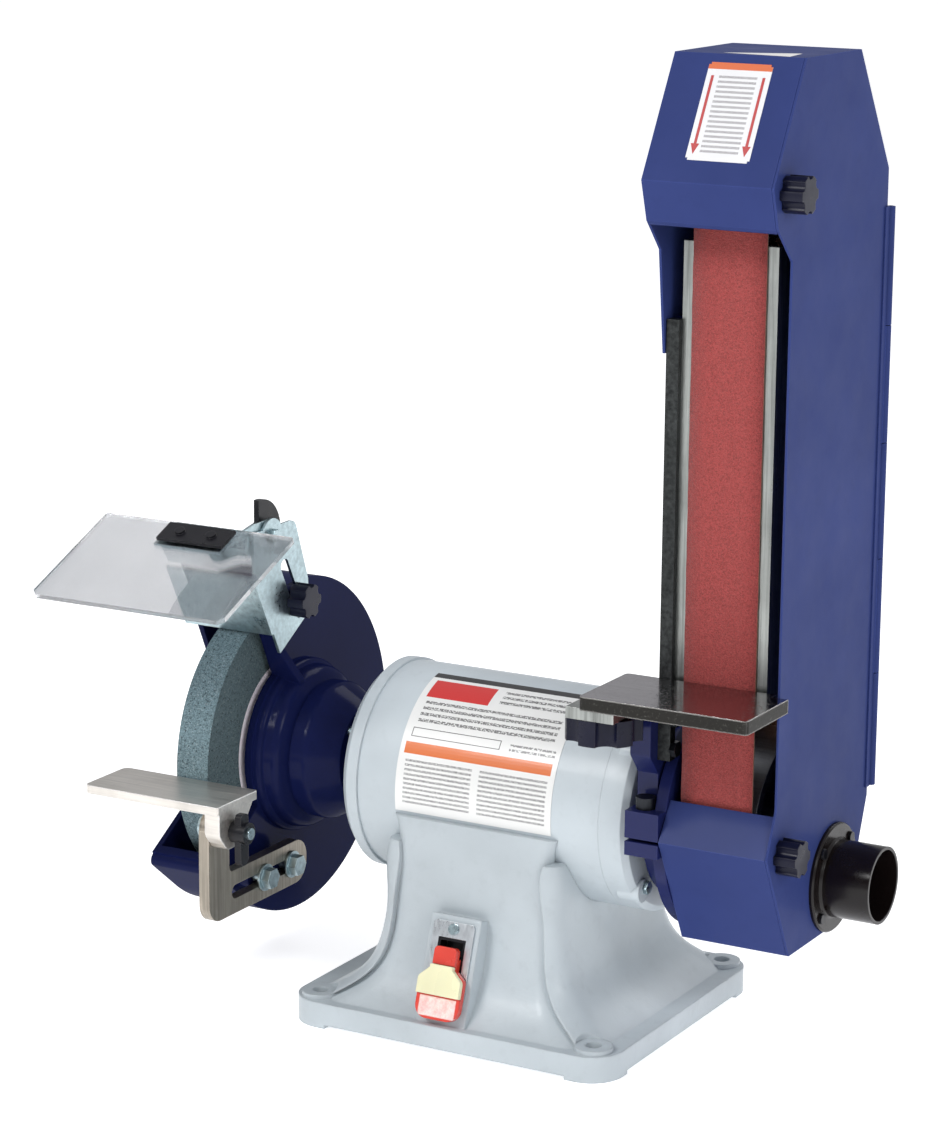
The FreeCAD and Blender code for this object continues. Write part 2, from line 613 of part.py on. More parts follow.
def make_pedestal():
    plate = profile("BasePlate", "XY_Plane", rounded_rectangle("base_half_x", "base_half_y", "base_round"),
                    "base_high")
    neck = lofted("Neck", NECK)
    ridges = cut("CornerRidges", lofted("Ridges", RIDGES), lofted("Panels", PANELS))
    hollow = lofted("Hollow", HOLLOW)
    bosses, holes = [], []
    seat = "base_high + bolt_boss"
    for index, middle in enumerate(corners_of("lug_x", "lug_y")):
        bosses.append(rod("BoltBoss%d" % index, "bolt_boss_r", "base_high - 1", "base_high + bolt_boss",
                          middle, "z"))
        holes.append(rod("BoltHole%d" % index, "bolt_r", "0 - past", seat + " + past", middle, "z"))
        holes.append(rod("BoltSeat%d" % index, "bolt_boss_r - 1", seat, seat + " + 40", middle, "z"))
    switch_boss = block("SwitchBoss", ("0", "0", "0"), ("boss_wide", "boss_deep", "boss_low + boss_top"))
    lean(switch_boss, ("switch_x - boss_wide / 2", "switch_y - boss_low * sin(lean)",
                       "switch_z - boss_low * cos(lean)"), "0 - lean")
    gland_boss = rod("GlandBoss", "gland_boss_r", "60", "gland_boss_end", ("gland_x", "gland_z"), "y")
    body = fuse("PedestalBody", plate, neck, ridges, switch_boss, gland_boss, *bosses)

    gaps = [block("FootGapX", ("0 - base_half_x - past", "0 - foot_half_y", "0 - past"),
                  ("base_half_x + past", "foot_half_y", "foot_gap")),
            block("FootGapY", ("0 - foot_half_x", "0 - base_half_y - past", "0 - past"),
                  ("foot_half_x", "base_half_y + past", "foot_gap"))]
    recess = profile("CoverRecess", "XY_Plane",
                     rounded_rectangle("cover_half_x", "cover_half_y", "cover_round"),
                     "cover_recess + past",
                     ("0", "0", "0 - past"))
    screw_spots = corners_of("cover_screw_x", "cover_screw_y")
    cover_holes = [rod("CoverHole%d" % i, "screw_r", "0", "cover_recess + 9", spot, "z")
                   for i, spot in enumerate(screw_spots)]
    saddle = rod("Saddle", "shell_r", "0 - base_half_x", "base_half_x", ON_AXIS)
    gland_hole = rod("GlandHole", "gland_hole_r", "40", "gland_boss_end + past", ("gland_x", "gland_z"),
                     "y")
    pocket = lean(block("SwitchPocket", ("0", "0", "0"),
                        ("window_wide + 2", "body_deep + 40", "window_high + 2")),
                  ("switch_x - window_wide / 2 - 1", "switch_y - (window_high / 2 + 1) * sin(lean) - past",
                   "switch_z - (window_high / 2 + 1) * cos(lean)"), "0 - lean")
    keep(cut("Pedestal", body, hollow, saddle, gland_hole, recess, pocket,
             *(gaps + holes + cover_holes)), "pedestal")

    cover = profile("BottomCover", "XY_Plane",
                    rounded_rectangle("cover_half_x - gap", "cover_half_y - gap", "cover_round - gap"),
                    "cover_thick", ("0", "0", "cover_recess - cover_thick"))
    keep(cut("BottomCoverDrilled", cover,
             *[rod("CoverDrill%d" % i, "screw_r", "0 - past", "cover_recess + past", spot, "z")
               for i, spot in enumerate(screw_spots)]), "bottom_cover")
    pedestal_screws = []
    for i, spot in enumerate(screw_spots):
        head = rod("CoverHead%d" % i, "screw_head_r", "cover_recess - cover_thick - 1.3",
                   "cover_recess - cover_thick", spot, "z")
        shank = rod("CoverShank%d" % i, "screw_r", "cover_recess - cover_thick", "cover_recess + 8", spot,
                    "z")
        pedestal_screws.append(fuse("CoverScrew%d" % i, head, shank))

    middle = ("gland_x", "gland_z")
    gland_end = "gland_boss_end + gland_nut + 8"
    barrel = rod("GlandBarrel", "gland_hole_r", "gland_boss_end - 14", "gland_boss_end + gland_nut", middle,
                 "y")
    nut = rod("GlandNut", "gland_nut_r", "gland_boss_end", "gland_boss_end + gland_nut", middle, "y")
    tip = rod("GlandTip", "gland_nut_r - 2.5", "gland_boss_end + gland_nut - 1", gland_end, middle, "y")
    bore = rod("GlandBore", "gland_bore_r", "gland_boss_end - 16", gland_end + " + past", middle, "y")
    keep(cut("Gland", fuse("GlandBody", barrel, nut, tip), bore), "cable_gland")

    cap_end = "cap_x + cap_long"
    can = rod("Capacitor", "cap_r", "cap_x", cap_end, ("cap_y", "cap_z"))
    clip_left = "cap_x + cap_long / 2 - clip_wide / 2"
    clip_right = "cap_x + cap_long / 2 + clip_wide / 2"
    strap = tube("ClipStrap", "cap_r + clip_thick", "cap_r", clip_left, clip_right, ("cap_y", "cap_z"))
    hanger = block("ClipHanger", (clip_left, "cap_y - 4", "cap_z + cap_r + 0.5"),
                   (clip_right, "cap_y + 4", "hollow_top"))
    keep(group("CapacitorAndClip", can, fuse("CapacitorClip", strap, hanger)), "start_capacitor_and_clip")
    return pedestal_screws


SWITCH_AT = ("switch_x", "switch_y", "switch_z")


def make_switch(pedestal_screws):
    """Built upright facing the front, then leaned back with the pedestal's boss."""
    face = "0 - plate_thick"
    plate = profile("SwitchPlateBlank", "XZ_Plane",
                    rounded_rectangle("plate_wide / 2", "plate_high / 2", "3"),
                    "plate_thick")
    window = block("SwitchWindow", ("0 - window_wide / 2", "0 - 2 * past", "0 - window_high / 2"),
                   ("window_wide / 2", "past", "window_high / 2"))
    screw_spots = [("0", "0 - plate_high / 2 + 5"), ("0", "plate_high / 2 - 5")]
    drills = [rod("PlateDrill%d" % i, "rivet_r", "0 - 2 * past", "past", spot, "y") for i,
              spot in enumerate(screw_spots)]
    keep(lean(cut("SwitchPlate", plate, window, *drills), SWITCH_AT, "0 - lean"), "switch_plate")

    screws = []
    for i, spot in enumerate(screw_spots):
        head = rod("SwitchScrewHead%d" % i, "rivet_r * 1.7", face + " - 1.4", face, spot, "y")
        shank = rod("SwitchScrewShank%d" % i, "rivet_r", face, "0", spot, "y")
        screws.append(fuse("SwitchScrew%d" % i, head, shank))
    leaned_screws = lean(group("SwitchScrews", *screws), SWITCH_AT, "0 - lean")
    keep(group("PedestalScrews", leaned_screws, *pedestal_screws), "pedestal_screws")

    half = "window_wide / 2 - 0.2"
    shell = block("SwitchShell", ("0 - (%s)" % half, "0 - 1", "0 - window_high / 2 + 0.2"),
                  (half, "body_deep", "window_high / 2 - 0.2"))
    mouth = block("SwitchMouth", ("0 - paddle_wide / 2 - gap", "0 - past", "0 - window_high / 2 + 2"),
                  ("paddle_wide / 2 + gap", "9", "window_high / 2 - 2"))
    keep(lean(cut("SwitchBody", shell, mouth), SWITCH_AT, "0 - lean"), "switch_body")

    blade = profile("PaddleBlade", "XZ_Plane", [
        ("0 - paddle_wide / 2", "paddle_top", "3"), ("0 - paddle_wide / 2", "0 - 3"),
        ("0 - paddle_flare / 2", "0 - 10", "4"), ("0 - paddle_flare / 2", "paddle_low", "9"),
        ("paddle_flare / 2", "paddle_low", "9"), ("paddle_flare / 2", "0 - 10", "4"),
        ("paddle_wide / 2", "0 - 3"), ("paddle_wide / 2", "paddle_top", "3"),
    ], "paddle_thick", ("0", "0 - 3.2", "0"))
    stem = rod("PaddleStem", "stem_r", "0 - paddle_wide / 2", "paddle_wide / 2", ("0", "0"))
    slot = block("KeySlot", ("0 - paddle_flare", "0 - 3.2 - paddle_thick - past", "key_low"),
                 ("paddle_flare", "0 - 3.2 - paddle_thick + 1.5", "0 - 1"))
    keep(lean(cut("Paddle", fuse("PaddleBody", blade, stem), slot), SWITCH_AT, "0 - lean"), "switch_paddle")

    key = profile("Key", "XZ_Plane", [
        ("0 - paddle_wide / 2", "0 - 1 - gap", "1"), ("0 - paddle_wide / 2", "0 - 3.5"),
        ("0 - key_wide / 2", "0 - 10.5", "4"), ("0 - key_wide / 2", "key_low + gap"),
        ("key_wide / 2", "key_low + gap"), ("key_wide / 2", "0 - 10.5", "4"),
        ("paddle_wide / 2", "0 - 3.5"), ("paddle_wide / 2", "0 - 1 - gap", "1"),
    ], "key_thick", ("0", "0 - 3.2 - paddle_thick + 1.5 - gap", "0"))
    keep(lean(group("KeyInSwitch", key), SWITCH_AT, "0 - lean"), "safety_key")


# ---------------------------------------------------------------- wheel guard


def guard_lip(name, start, end):
    """The thickened lip where the guard's lower edge runs out to the front."""
    low = "open_low"
    return side_plate(name, [
        polar("guard_r - band_thick", low, ("0", "0")),
        polar("lip_r", low + " - 1.5", ("0", "0")) + ("lip_round - 1",),
        polar("guard_r", low + " - 20", ("0", "0")),
        polar("guard_r - band_thick", low + " - 14", ("0", "0")),
    ], start, end, "axis_z")


def mouth(name, inner, start, end):
    """What is cut away where the guard is open: a sector outside a circle."""
    return cut(name, wedge(name + "_sector", "open_low", "open_high", start, end),
               rod(name + "_keep", inner, start, end, ON_AXIS))


SCREW_ANGLES = (85, 150, 215, 280)
REST_SCREWS = (("hex_front", "slot_z"), ("hex_back", "slot_z"))


def arrestor_point(across, up):
    """A point of the arrestor's leaning plane, in the machine's frame."""
    return ("(%s) * cos(shield_angle) - (%s) * sin(shield_angle)" % (across, up),
            "axis_z + (%s) * sin(shield_angle) + (%s) * cos(shield_angle)" % (across, up))


def make_guard(rest_screws):
    wall_right = "guard_wall_left + guard_wall"
    cover_right = "cover_left + cover_plate"
    wall = rod("GuardWall", "guard_r", "guard_wall_left", wall_right, ON_AXIS)
    band = tube("GuardBand", "guard_r", "guard_r - band_thick", cover_right, "guard_wall_left", ON_AXIS)
    hub = turned("GuardHub", [
        ("guard_wall_left + 1", "neck_bore_r - 1"), ("guard_wall_left + 1", "hub_r"),
        (wall_right + " + 5", "hub_r", "3"), (wall_right + " + 6.5", "dome_r"),
        ("crease_x - 5", "dome_r - 1", "8"), ("crease_x", "crease_r"), ("crease_x + 1.5", "crease_r + 2"),
        ("crease_x + 13", "crease_r + 2", "10"), ("dome_end - 3", "dome_end_r", "5"),
        ("dome_end", "dome_end_r - 2"),
        ("dome_end", "neck_r"), ("left_boss_end", "neck_r"), ("left_boss_end", "neck_bore_r - 1"),
    ])
    lip = guard_lip("GuardLip", cover_right, wall_right)
    bosses = [rod("RestBoss%d" % i, "rest_boss_r", wall_right, "bar_left - gap", spot)
              for i, spot in enumerate(REST_SCREWS)]
    bosses.append(rod("ArrestorBoss", "rest_boss_r", wall_right, "flange_left - gap",
                      arrestor_point("slot_y", "stud_up")))
    rib = profile("MouthRib", "XZ_Plane", [
        (wall_right + " - 1", "dome_r - 8"), ("rib_hub_x", "dome_r - 8"), ("rib_hub_x - 1", "dome_r"),
        ("rib_x", "1.5 * dome_r", "12"), ("rib_x", "guard_r - band_thick"),
        (wall_right + " - 1", "guard_r - band_thick"),
    ], "rib_thick", ("0", "rib_thick", "0"))
    rib_at_edge = lean(group("RibAtMouth", rib), ON_SPINDLE, "90 - open_high")
    recess = rod("GuardRecess", "recess_r", "guard_wall_left - past", "recess_end", ON_AXIS)
    bore = rod("GuardBore", "neck_bore_r", "guard_wall_left - past", "left_boss_end + past", ON_AXIS)

    def screw_hole(tag, angle):
        return rod("GuardScrewHole" + tag, "guard_screw_r", cover_right + " - past", cover_right + " + 12",
                   polar("guard_screw_at", angle))

    def bolt_hole(tag, angle):
        return rod("GuardBoltHole" + tag, "mount_bolt_r", "recess_end - past", "left_boss_end + past",
                   polar("mount_bolt_at", angle))
    screw_holes, bolt_holes = around(screw_hole, SCREW_ANGLES), around(bolt_hole, TIE_ANGLES)
    rest_holes = [rod("RestHole%d" % i, "hex_r", "guard_wall_left - past", "bar_left", spot)
                  for i, spot in enumerate(REST_SCREWS)]
    stud_hole = rod("StudHole", "stud_r", "guard_wall_left - past", "flange_left",
                    arrestor_point("slot_y", "stud_up"))
    opened = cut("GuardOpened", fuse("GuardBody", wall, band, hub, *bosses),
                 mouth("GuardMouth", "mouth_r", cover_right, wall_right))
    keep(cut("GuardCasting", fuse("GuardWithLip", opened, lip, rib_at_edge), recess, bore, stud_hole,
             *(screw_holes + bolt_holes + rest_holes)), "guard_casting")

    disc = rod("CoverDisc", "guard_r", "cover_left", cover_right, ON_AXIS)
    opened_cover = cut("CoverOpened", disc, mouth("CoverMouth", "cover_mouth_r", "cover_left - past",
                                                  cover_right + " + past"))

    def cover_hole(tag, angle):
        return rod("CoverScrewHole" + tag, "guard_screw_r", "cover_left - past", cover_right + " + past",
                   polar("guard_screw_at", angle))
    keep(cut("GuardCover",
             fuse("CoverWithLip", opened_cover, guard_lip("CoverLip", "cover_left", cover_right)),
             *around(cover_hole, SCREW_ANGLES)), "guard_cover")

    def cover_screw(tag, angle):
        middle = polar("guard_screw_at", angle)
        return fuse("GuardScrew" + tag,
                    rod("GuardScrewHead" + tag, "2 * guard_screw_r", "cover_left - 2.4", "cover_left",
                        middle),
                    rod("GuardScrewShank" + tag, "guard_screw_r", "cover_left", cover_right + " + 11",
                        middle))

    def mount_bolt(tag, angle):
        middle = polar("mount_bolt_at", angle)
        return fuse("GuardBolt" + tag,
                    rod("GuardBoltHead" + tag, "1.7 * mount_bolt_r", "recess_end - 4", "recess_end",
                        middle),
                    rod("GuardBoltShank" + tag, "mount_bolt_r", "recess_end", "left_boss_end + 7", middle))
    stud = rod("ArrestorStud", "stud_r", "stud_left", "flange_left + sheet + gap + 0.65 * knob_long",
               arrestor_point("slot_y", "stud_up"))
    keep(group("GuardFasteners", stud, *(around(cover_screw, SCREW_ANGLES) + around(mount_bolt, TIE_ANGLES)
                                         + rest_screws)), "guard_fasteners")


# ---------------------------------------------------------------- tool rest


def lever_nut(name, start, middle, bore):
    """A thumb nut along X: a bored hub with a short lever up and a long lever down."""
    y, z = middle
    hub = rod(name + "_hub", "lever_hub_r", start, start + " + lever_hub", middle)
    low = start + " + lever_hub / 2 - lever_thick / 2"
    lever = side_plate(name + "_lever", [
        ("0 - lever_half", "lever_up", "3"), ("0 - 0.7 * lever_hub_r", "0"),
        ("0 - lever_half", "0 - lever_down", "4"),
        ("lever_half", "0 - lever_down", "4"), ("0.7 * lever_hub_r", "0"), ("lever_half", "lever_up", "3"),
    ], low, low + " + lever_thick")
    place(lever, (low, y, z))
    hole = rod(name + "_hole", bore, start + " - past", start + " + lever_hub + past", middle)
    return cut(name, fuse(name + "_body", hub, lever), hole)


def make_rest():
    bar_right = "bar_left + bar_thick"
    leg_back = "leg_front + leg_wide"
    cap_r = "leg_wide / 2 - 0.2"
    bracket = side_plate("BracketBar", [
        ("leg_front", "arm_low", "arm_round"), ("arm_back", "arm_low", "arm_round"),
        ("arm_back", "arm_high", "arm_round"), (leg_back, "arm_high", "4"),
        (leg_back, "pivot_z"), ("leg_front", "pivot_z"),
    ], "bar_left", bar_right)
    cap = rod("BracketCap", cap_r, "bar_left", bar_right, ("pivot_y", "pivot_z"))
    slot = side_plate("BracketSlot", [
        ("slot_front", "slot_z - slot_half", "slot_half - 0.1"),
        ("slot_back", "slot_z - slot_half", "slot_half - 0.1"),
        ("slot_back", "slot_z + slot_half", "slot_half - 0.1"),
        ("slot_front", "slot_z + slot_half", "slot_half - 0.1"),
    ], "bar_left - past", bar_right + " + past")
    pivot = rod("BracketPivot", "pivot_bolt_r + fit", "bar_left - past", bar_right + " + past",
                ("pivot_y", "pivot_z"))
    keep(cut("RestBracket", fuse("BracketBody", bracket, cap), slot, pivot), "rest_bracket")

    screws = []
    for i, (y, z) in enumerate(REST_SCREWS):
        washer_left = bar_right + " + gap"
        washer = rod("RestWasher%d" % i, "washer_r", washer_left, washer_left + " + washer_thick", (y, z))
        head = hexagon("RestHead%d" % i, "hex_flats", washer_left + " + washer_thick",
                       washer_left + " + washer_thick + hex_high", (y, z))
        shank = rod("RestShank%d" % i, "hex_r", "guard_wall_left", washer_left, (y, z))
        screws.append(fuse("RestScrew%d" % i, washer, head, shank))

    plate = profile("RestPlate", "XY_Plane", [
        ("plate_left", "plate_front", "5"), ("plate_right", "plate_front", "2"),
        ("plate_right", "plate_back", "2"), ("plate_left", "plate_back", "5"),
    ], "rest_thick", ("0", "0", "rest_top - rest_thick"))
    lug_left = bar_right + " + gap"
    lug = side_plate("RestLug", [
        ("plate_front + 2", "rest_top - rest_thick + 1"), ("plate_front + 2", "pivot_z", "8"),
        ("pivot_y - 8", "rest_lug_low", "6"), ("pivot_y + 4", "rest_lug_low", "12"),
        ("plate_back - 6", "rest_top - rest_thick + 1"),
    ], lug_left, "plate_right")
    lug_hole = rod("LugHole", "pivot_bolt_r", lug_left + " - past", "plate_right + past",
                   ("pivot_y", "pivot_z"))
    keep(cut("ToolRest", fuse("RestBody", plate, lug), lug_hole), "tool_rest")

    bolt_end = "plate_right + gap + lever_hub + 2"
    keep(fuse("RestBolt", rod("RestBoltHead", "2 * pivot_bolt_r", "bar_left - gap - 4", "bar_left - gap",
                              ("pivot_y", "pivot_z")),
              rod("RestBoltShank", "pivot_bolt_r", "bar_left - gap", bolt_end, ("pivot_y", "pivot_z"))),
              "rest_bolt")
    keep(lever_nut("RestLever", "plate_right + gap", ("pivot_y", "pivot_z"), "pivot_bolt_r + fit"),
         "rest_wing_nut")
    return screws


# ---------------------------------------------------------------- spark arrestor and eye shield

EYE = ("eye_y", "eye_z")
EYE_ACROSS = "eye_y * cos(shield_angle) + (eye_z - axis_z) * sin(shield_angle)"
EYE_UP = "(eye_z - axis_z) * cos(shield_angle) - eye_y * sin(shield_angle)"


def make_arrestor():
    """Built upright in a plane through the spindle's axis, then leaned to the front."""
    flange_right = "flange_left + sheet"
    face = block("ArrestorFace", ("front_left", "0 - sheet", "front_low"),
                 (flange_right, "0", "front_high"))
    flange = side_plate("ArrestorFlange", [
        ("0", "front_low - 18"), ("44", "front_low - 16", "5"), ("54", "front_low + 6", "6"),
        ("60", "front_high + 5", "8"), ("13", "front_high + 29", "4"), ("0", "front_high"),
    ], "flange_left", flange_right)
    eye_lug = rod("EyeLug", "eye_lug_r", "flange_left", flange_right, (EYE_ACROSS, EYE_UP))
    slot = side_plate("ArrestorSlot", [
        ("slot_y - arrestor_slot", "slot_low - arrestor_slot", "arrestor_slot - 0.1"),
        ("slot_y + arrestor_slot", "slot_low - arrestor_slot", "arrestor_slot - 0.1"),
        ("slot_y + arrestor_slot", "slot_high", "arrestor_slot - 0.1"),
        ("slot_y - arrestor_slot", "slot_high", "arrestor_slot - 0.1"),
    ], "flange_left - past", flange_right + " + past")
    hole = rod("EyeHole", "eye_bolt_r", "flange_left - past", flange_right + " + past",
               (EYE_ACROSS, EYE_UP))
    sheet_metal = cut("ArrestorSheet", fuse("ArrestorBody", face, flange, eye_lug), slot, hole)
    keep(lean(sheet_metal, ON_SPINDLE, "shield_angle"), "spark_arrestor")

    nut_left = "flange_left - gap - tab_thick - gap - eye_hub"
    keep(fuse("EyeBolt",
              hexagon("EyeBoltHead", "3.4 * eye_bolt_r", flange_right, flange_right + " + 4", EYE),
              rod("EyeBoltShank", "eye_bolt_r", nut_left + " - 2", flange_right, EYE)), "shield_pivot_bolt")
    keep(lobed_knob("ArrestorKnob", "knob_r", "knob_long", "stud_r + fit",
                    (flange_right + " + gap",) + arrestor_point("slot_y", "stud_up"), Rotation()),
                    "arrestor_knob")

    hub = rod("EyeHub", "eye_hub_r", nut_left, nut_left + " + eye_hub", EYE)
    moon = rod("EyeMoon", "eye_wing_r", nut_left + " + 1", nut_left + " + 1 + eye_wing_thick", EYE)
    front_half = block("EyeMoonTrim", (nut_left, "eye_y - 2 * eye_wing_r", "eye_z - 2 * eye_wing_r"),
                       (nut_left + " + eye_hub", "eye_y - 3", "eye_z + 2 * eye_wing_r"))
    hub_hole = rod("EyeHubHole", "eye_bolt_r + fit", nut_left + " - past", nut_left + " + eye_hub + past",
                   EYE)
    keep(cut("EyeWing", fuse("EyeWingBody", hub, cut("EyeMoonHalf", moon, front_half)), hub_hole),
         "shield_wing_nut")


ON_SPINDLE = ("0", "0", "axis_z")
PANE_AT = ("0", "pane_back", "pane_back_z")


def make_shield():
    """Pane, clamp and screws, built flat with the back edge at y = 0, then tilted down to the front."""
    pane = profile("Pane", "XY_Plane", [
        ("pane_left", "0", "3"), ("pane_left", "0 - pane_deep + pane_clip"),
        ("pane_left + pane_clip", "0 - pane_deep"), ("pane_right - pane_clip", "0 - pane_deep"),
        ("pane_right", "0 - pane_deep + pane_clip"), ("pane_right", "0", "3"),
    ], "pane_thick")
    clamp_front = "0 - clamp_in - clamp_deep"
    screw_spots = [("clamp_left + 14", "0 - clamp_in - clamp_deep / 2"),
                   ("clamp_right - 14", "0 - clamp_in - clamp_deep / 2")]

    def holes(name):
        return [rod("%s_hole_%d" % (name, i), "screw_r", "0 - tab_thick - past",
                    "pane_thick + clamp_thick + past",
                    spot, "z") for i, spot in enumerate(screw_spots)]
    keep(lean(cut("ShieldPane", pane, *holes("Pane")), PANE_AT, "pane_slope"), "shield_pane")
    clamp = block("ClampBlank", ("clamp_left", clamp_front, "pane_thick"),
                  ("clamp_right", "0 - clamp_in", "pane_thick + clamp_thick"))
    clamp_plate = cut("ShieldClamp", clamp, *holes("Clamp"))
    screws = []
    for i, spot in enumerate(screw_spots):
        head = rod("PaneScrewHead%d" % i, "2 * screw_r", "pane_thick + clamp_thick",
                   "pane_thick + clamp_thick + 1.8",
                   spot, "z")
        shank = rod("PaneScrewShank%d" % i, "screw_r", "0 - tab_thick", "pane_thick + clamp_thick", spot,
                    "z")
        screws.append(fuse("PaneScrew%d" % i, head, shank))
    keep(lean(group("ClampAndScrews", clamp_plate, *screws), PANE_AT, "pane_slope"), "shield_clamp_plate")

    tab_right = "flange_left - gap"
    tab_left = tab_right + " - tab_thick"
    strip_blank = block("StripBlank", ("clamp_left - 2", clamp_front + " - 2", "0 - tab_thick"),
                        (tab_right, "tab_thick + 1", "0"))
    strip = lean(cut("Strip", strip_blank, *holes("Strip")), PANE_AT, "pane_slope")
    tongue = lean(profile("Tongue", "XZ_Plane", [
        ("clamp_left + 16", "0"), (tab_right, "0"), (tab_right, "0 - 16"),
        (tab_right + " - 14", "0 - 22", "4"),
        ("clamp_left + 32", "0 - 22", "4"),
    ], "tab_thick"), ("0", "pane_back + 1 + tab_thick", "pane_back_z - 0.5"), "0 - lean / 2")
    tab = side_plate("PivotTab", [
        ("pane_back - 19", "pane_back_z - 12"), ("pane_back + 20", "eye_z - 12"),
        ("eye_y + 12", "eye_z - 12", "9"),
        ("eye_y + 12", "eye_z + 12", "9"), ("pane_back + 20", "eye_z + 12"),
        ("pane_back - 1", "pane_back_z - 1"),
    ], tab_left, tab_right)
    hole = rod("TabHole", "eye_bolt_r + fit", tab_left + " - past", tab_right + " + past", EYE)
    keep(cut("ShieldBracket", fuse("BracketSheet", strip, tongue, tab), hole), "shield_bracket")


# ---------------------------------------------------------------- belt arm

DRIVE_CENTRE = ("0", "0")
IDLER_AT = ("idler_y", "axis_z + idler_up")


SHELF_SPOTS = [("column_right - 7.5", "column_front + 7"), ("column_right - 7.5", "column_back - 7")]


def make_arm():
    ring = rod("ArmRing", "ring_r", "ring_left", "ring_right", ON_AXIS)
    disc = rod("ArmDisc", "disc_r", "disc_left", "disc_right", ON_AXIS)
    ear = block("ArmEar", ("ring_left", "ear_front", "ear_low"), ("ring_right", "column_back", "ear_high"))
    column = side_plate("ArmColumn", [
        ("column_back", "ear_low + 12"), ("column_neck", "ear_low + 12"), ("column_neck", "ear_high + 22"),
        ("column_front", "ear_high + 36", "4"), ("column_front", "shelf_z"), ("column_back", "shelf_z"),
    ], "ring_left", "column_right")
    bore = rod("ArmBore", "nose_r + fit", "ring_left - past", "disc_right + past", ON_AXIS)
    slit = block("ArmSlit", ("ring_left - past", "ear_front - past", "axis_z - slit / 2"),
                 ("disc_right + past", "0 - nose_r + 2", "axis_z + slit / 2"))
    clamp_hole = rod("ClampHole", "clamp_r", "ear_low + 2", "ear_high + past", ("clamp_x", "clamp_y"), "z")
    bar_holes = [rod("BarHole%d" % i, "stud_r", "ring_left - past", "column_right + bar_wide + past",
                     ("(bar_front + bar_back) / 2", "bar_low + %d" % up)) for i, up in enumerate((8, 28))]
    shelf_holes = [rod("ShelfHole%d" % i, "stud_r", "shelf_z - 12", "shelf_z + past", spot, "z")
                   for i, spot in enumerate(SHELF_SPOTS)]
    keep(cut("ArmCasting", fuse("ArmBody", ring, disc, ear, column), bore, slit, clamp_hole,
             *(bar_holes + shelf_holes)), "arm_casting")
    clamp_bolt = fuse("ClampBolt",
                      rod("ClampHead", "clamp_head_r", "ear_high", "ear_high + clamp_head",
                          ("clamp_x", "clamp_y"),
                               "z"),
                      rod("ClampShank", "clamp_r", "ear_low + 3", "ear_high", ("clamp_x", "clamp_y"), "z"))

    bar = block("ArmBar", ("column_right", "bar_front", "bar_low"),
                ("column_right + bar_wide", "bar_back", "bar_high"))
    keep(cut("ArmBarDrilled", bar, *bar_holes), "arm_bar")
    screws = []
    for i, up in enumerate((8, 28)):
        middle = ("(bar_front + bar_back) / 2", "bar_low + %d" % up)
        screws.append(fuse("BarScrew%d" % i,
                           hexagon("BarScrewHead%d" % i, "3.2 * stud_r", "column_right + bar_wide",
                                   "column_right + bar_wide + 4", middle),
                           rod("BarScrewShank%d" % i, "stud_r", "ring_left + 1", "column_right + bar_wide",
                               middle)))

    platen_left = "column_right + bar_wide"
    face = block("PlatenFace", (platen_left, "0 - belt_r + gap", "platen_low"),
                 ("platen_right", "platen_back", "platen_high"))
    folds = [block("PlatenFold%d" % i, (low, "platen_back", "platen_low"),
                   (high, "platen_fold", "platen_high"))
             for i, (low, high) in enumerate(((platen_left, platen_left + " + fold_thick"),
                                              ("platen_right - fold_thick", "platen_right")))]
    keep(fuse("Platen", face, *folds), "platen")

    half = "guide_half * 0.72"
    guide = block("GuideBlock", ("post_x - guide_half", "idler_y - (%s)" % half, "guide_low"),
                  ("post_x + guide_half", "idler_y + (%s)" % half, "guide_high"))
    link = block("GuideLink", ("column_right + 4", "idler_y - (%s)" % half, "guide_low"),
                 ("post_x - guide_half", "idler_y + (%s)" % half, "bar_high"))
    root = block("GuideRoot", ("column_right", "bar_back", "guide_low"),
                 (platen_left, "idler_y + (%s)" % half, "bar_high"))
    guide_bore = rod("GuideBore", "post_r + fit", "guide_low - past", "guide_high + past",
                     ("post_x", "idler_y"), "z")
    stud_right = "post_x + guide_half + gap + 0.65 * tracking_long"
    stud = rod("TrackingStud", "tracking_stud_r", "post_x + guide_half - 4", stud_right,
               ("idler_y", "(guide_low + guide_high) / 2"))
    keep(cut("TensionGuide", fuse("GuideBody", guide, link, root, stud), guide_bore), "tension_guide")
    keep(lobed_knob("TrackingKnob", "tracking_r", "tracking_long", "tracking_stud_r + fit",
                    ("post_x + guide_half + gap", "idler_y", "(guide_low + guide_high) / 2"), Rotation()),
         "tracking_knob")

    helix = doc.addObject("Part::Helix", "SpringLine")
    bind(helix, "Radius", "post_r + 2 * spring_wire")
    bind(helix, "Height", "yoke_low - guide_high - 2 * spring_wire - 2 * gap")
    bind(helix, "Pitch", "(yoke_low - guide_high - 2 * spring_wire - 2 * gap) / spring_coils")
    wire = doc.addObject("Part::Circle", "SpringWire")
    bind(wire, "Radius", "spring_wire")
    wire.Placement = FreeCAD.Placement(Vector(number("post_r + 2 * spring_wire"), 0, 0), AXIS_TURN["y"])
    bind(wire, "Placement.Base.x", "post_r + 2 * spring_wire")
    spring = doc.addObject("Part::Sweep", "TensionSpring")
    spring.Sections = [wire]
    spring.Spine = helix
    spring.Solid = True
    spring.Frenet = True
    keep(place(spring, ("post_x", "idler_y", "guide_high + spring_wire + gap")), "tension_spring")
    return [clamp_bolt] + screws


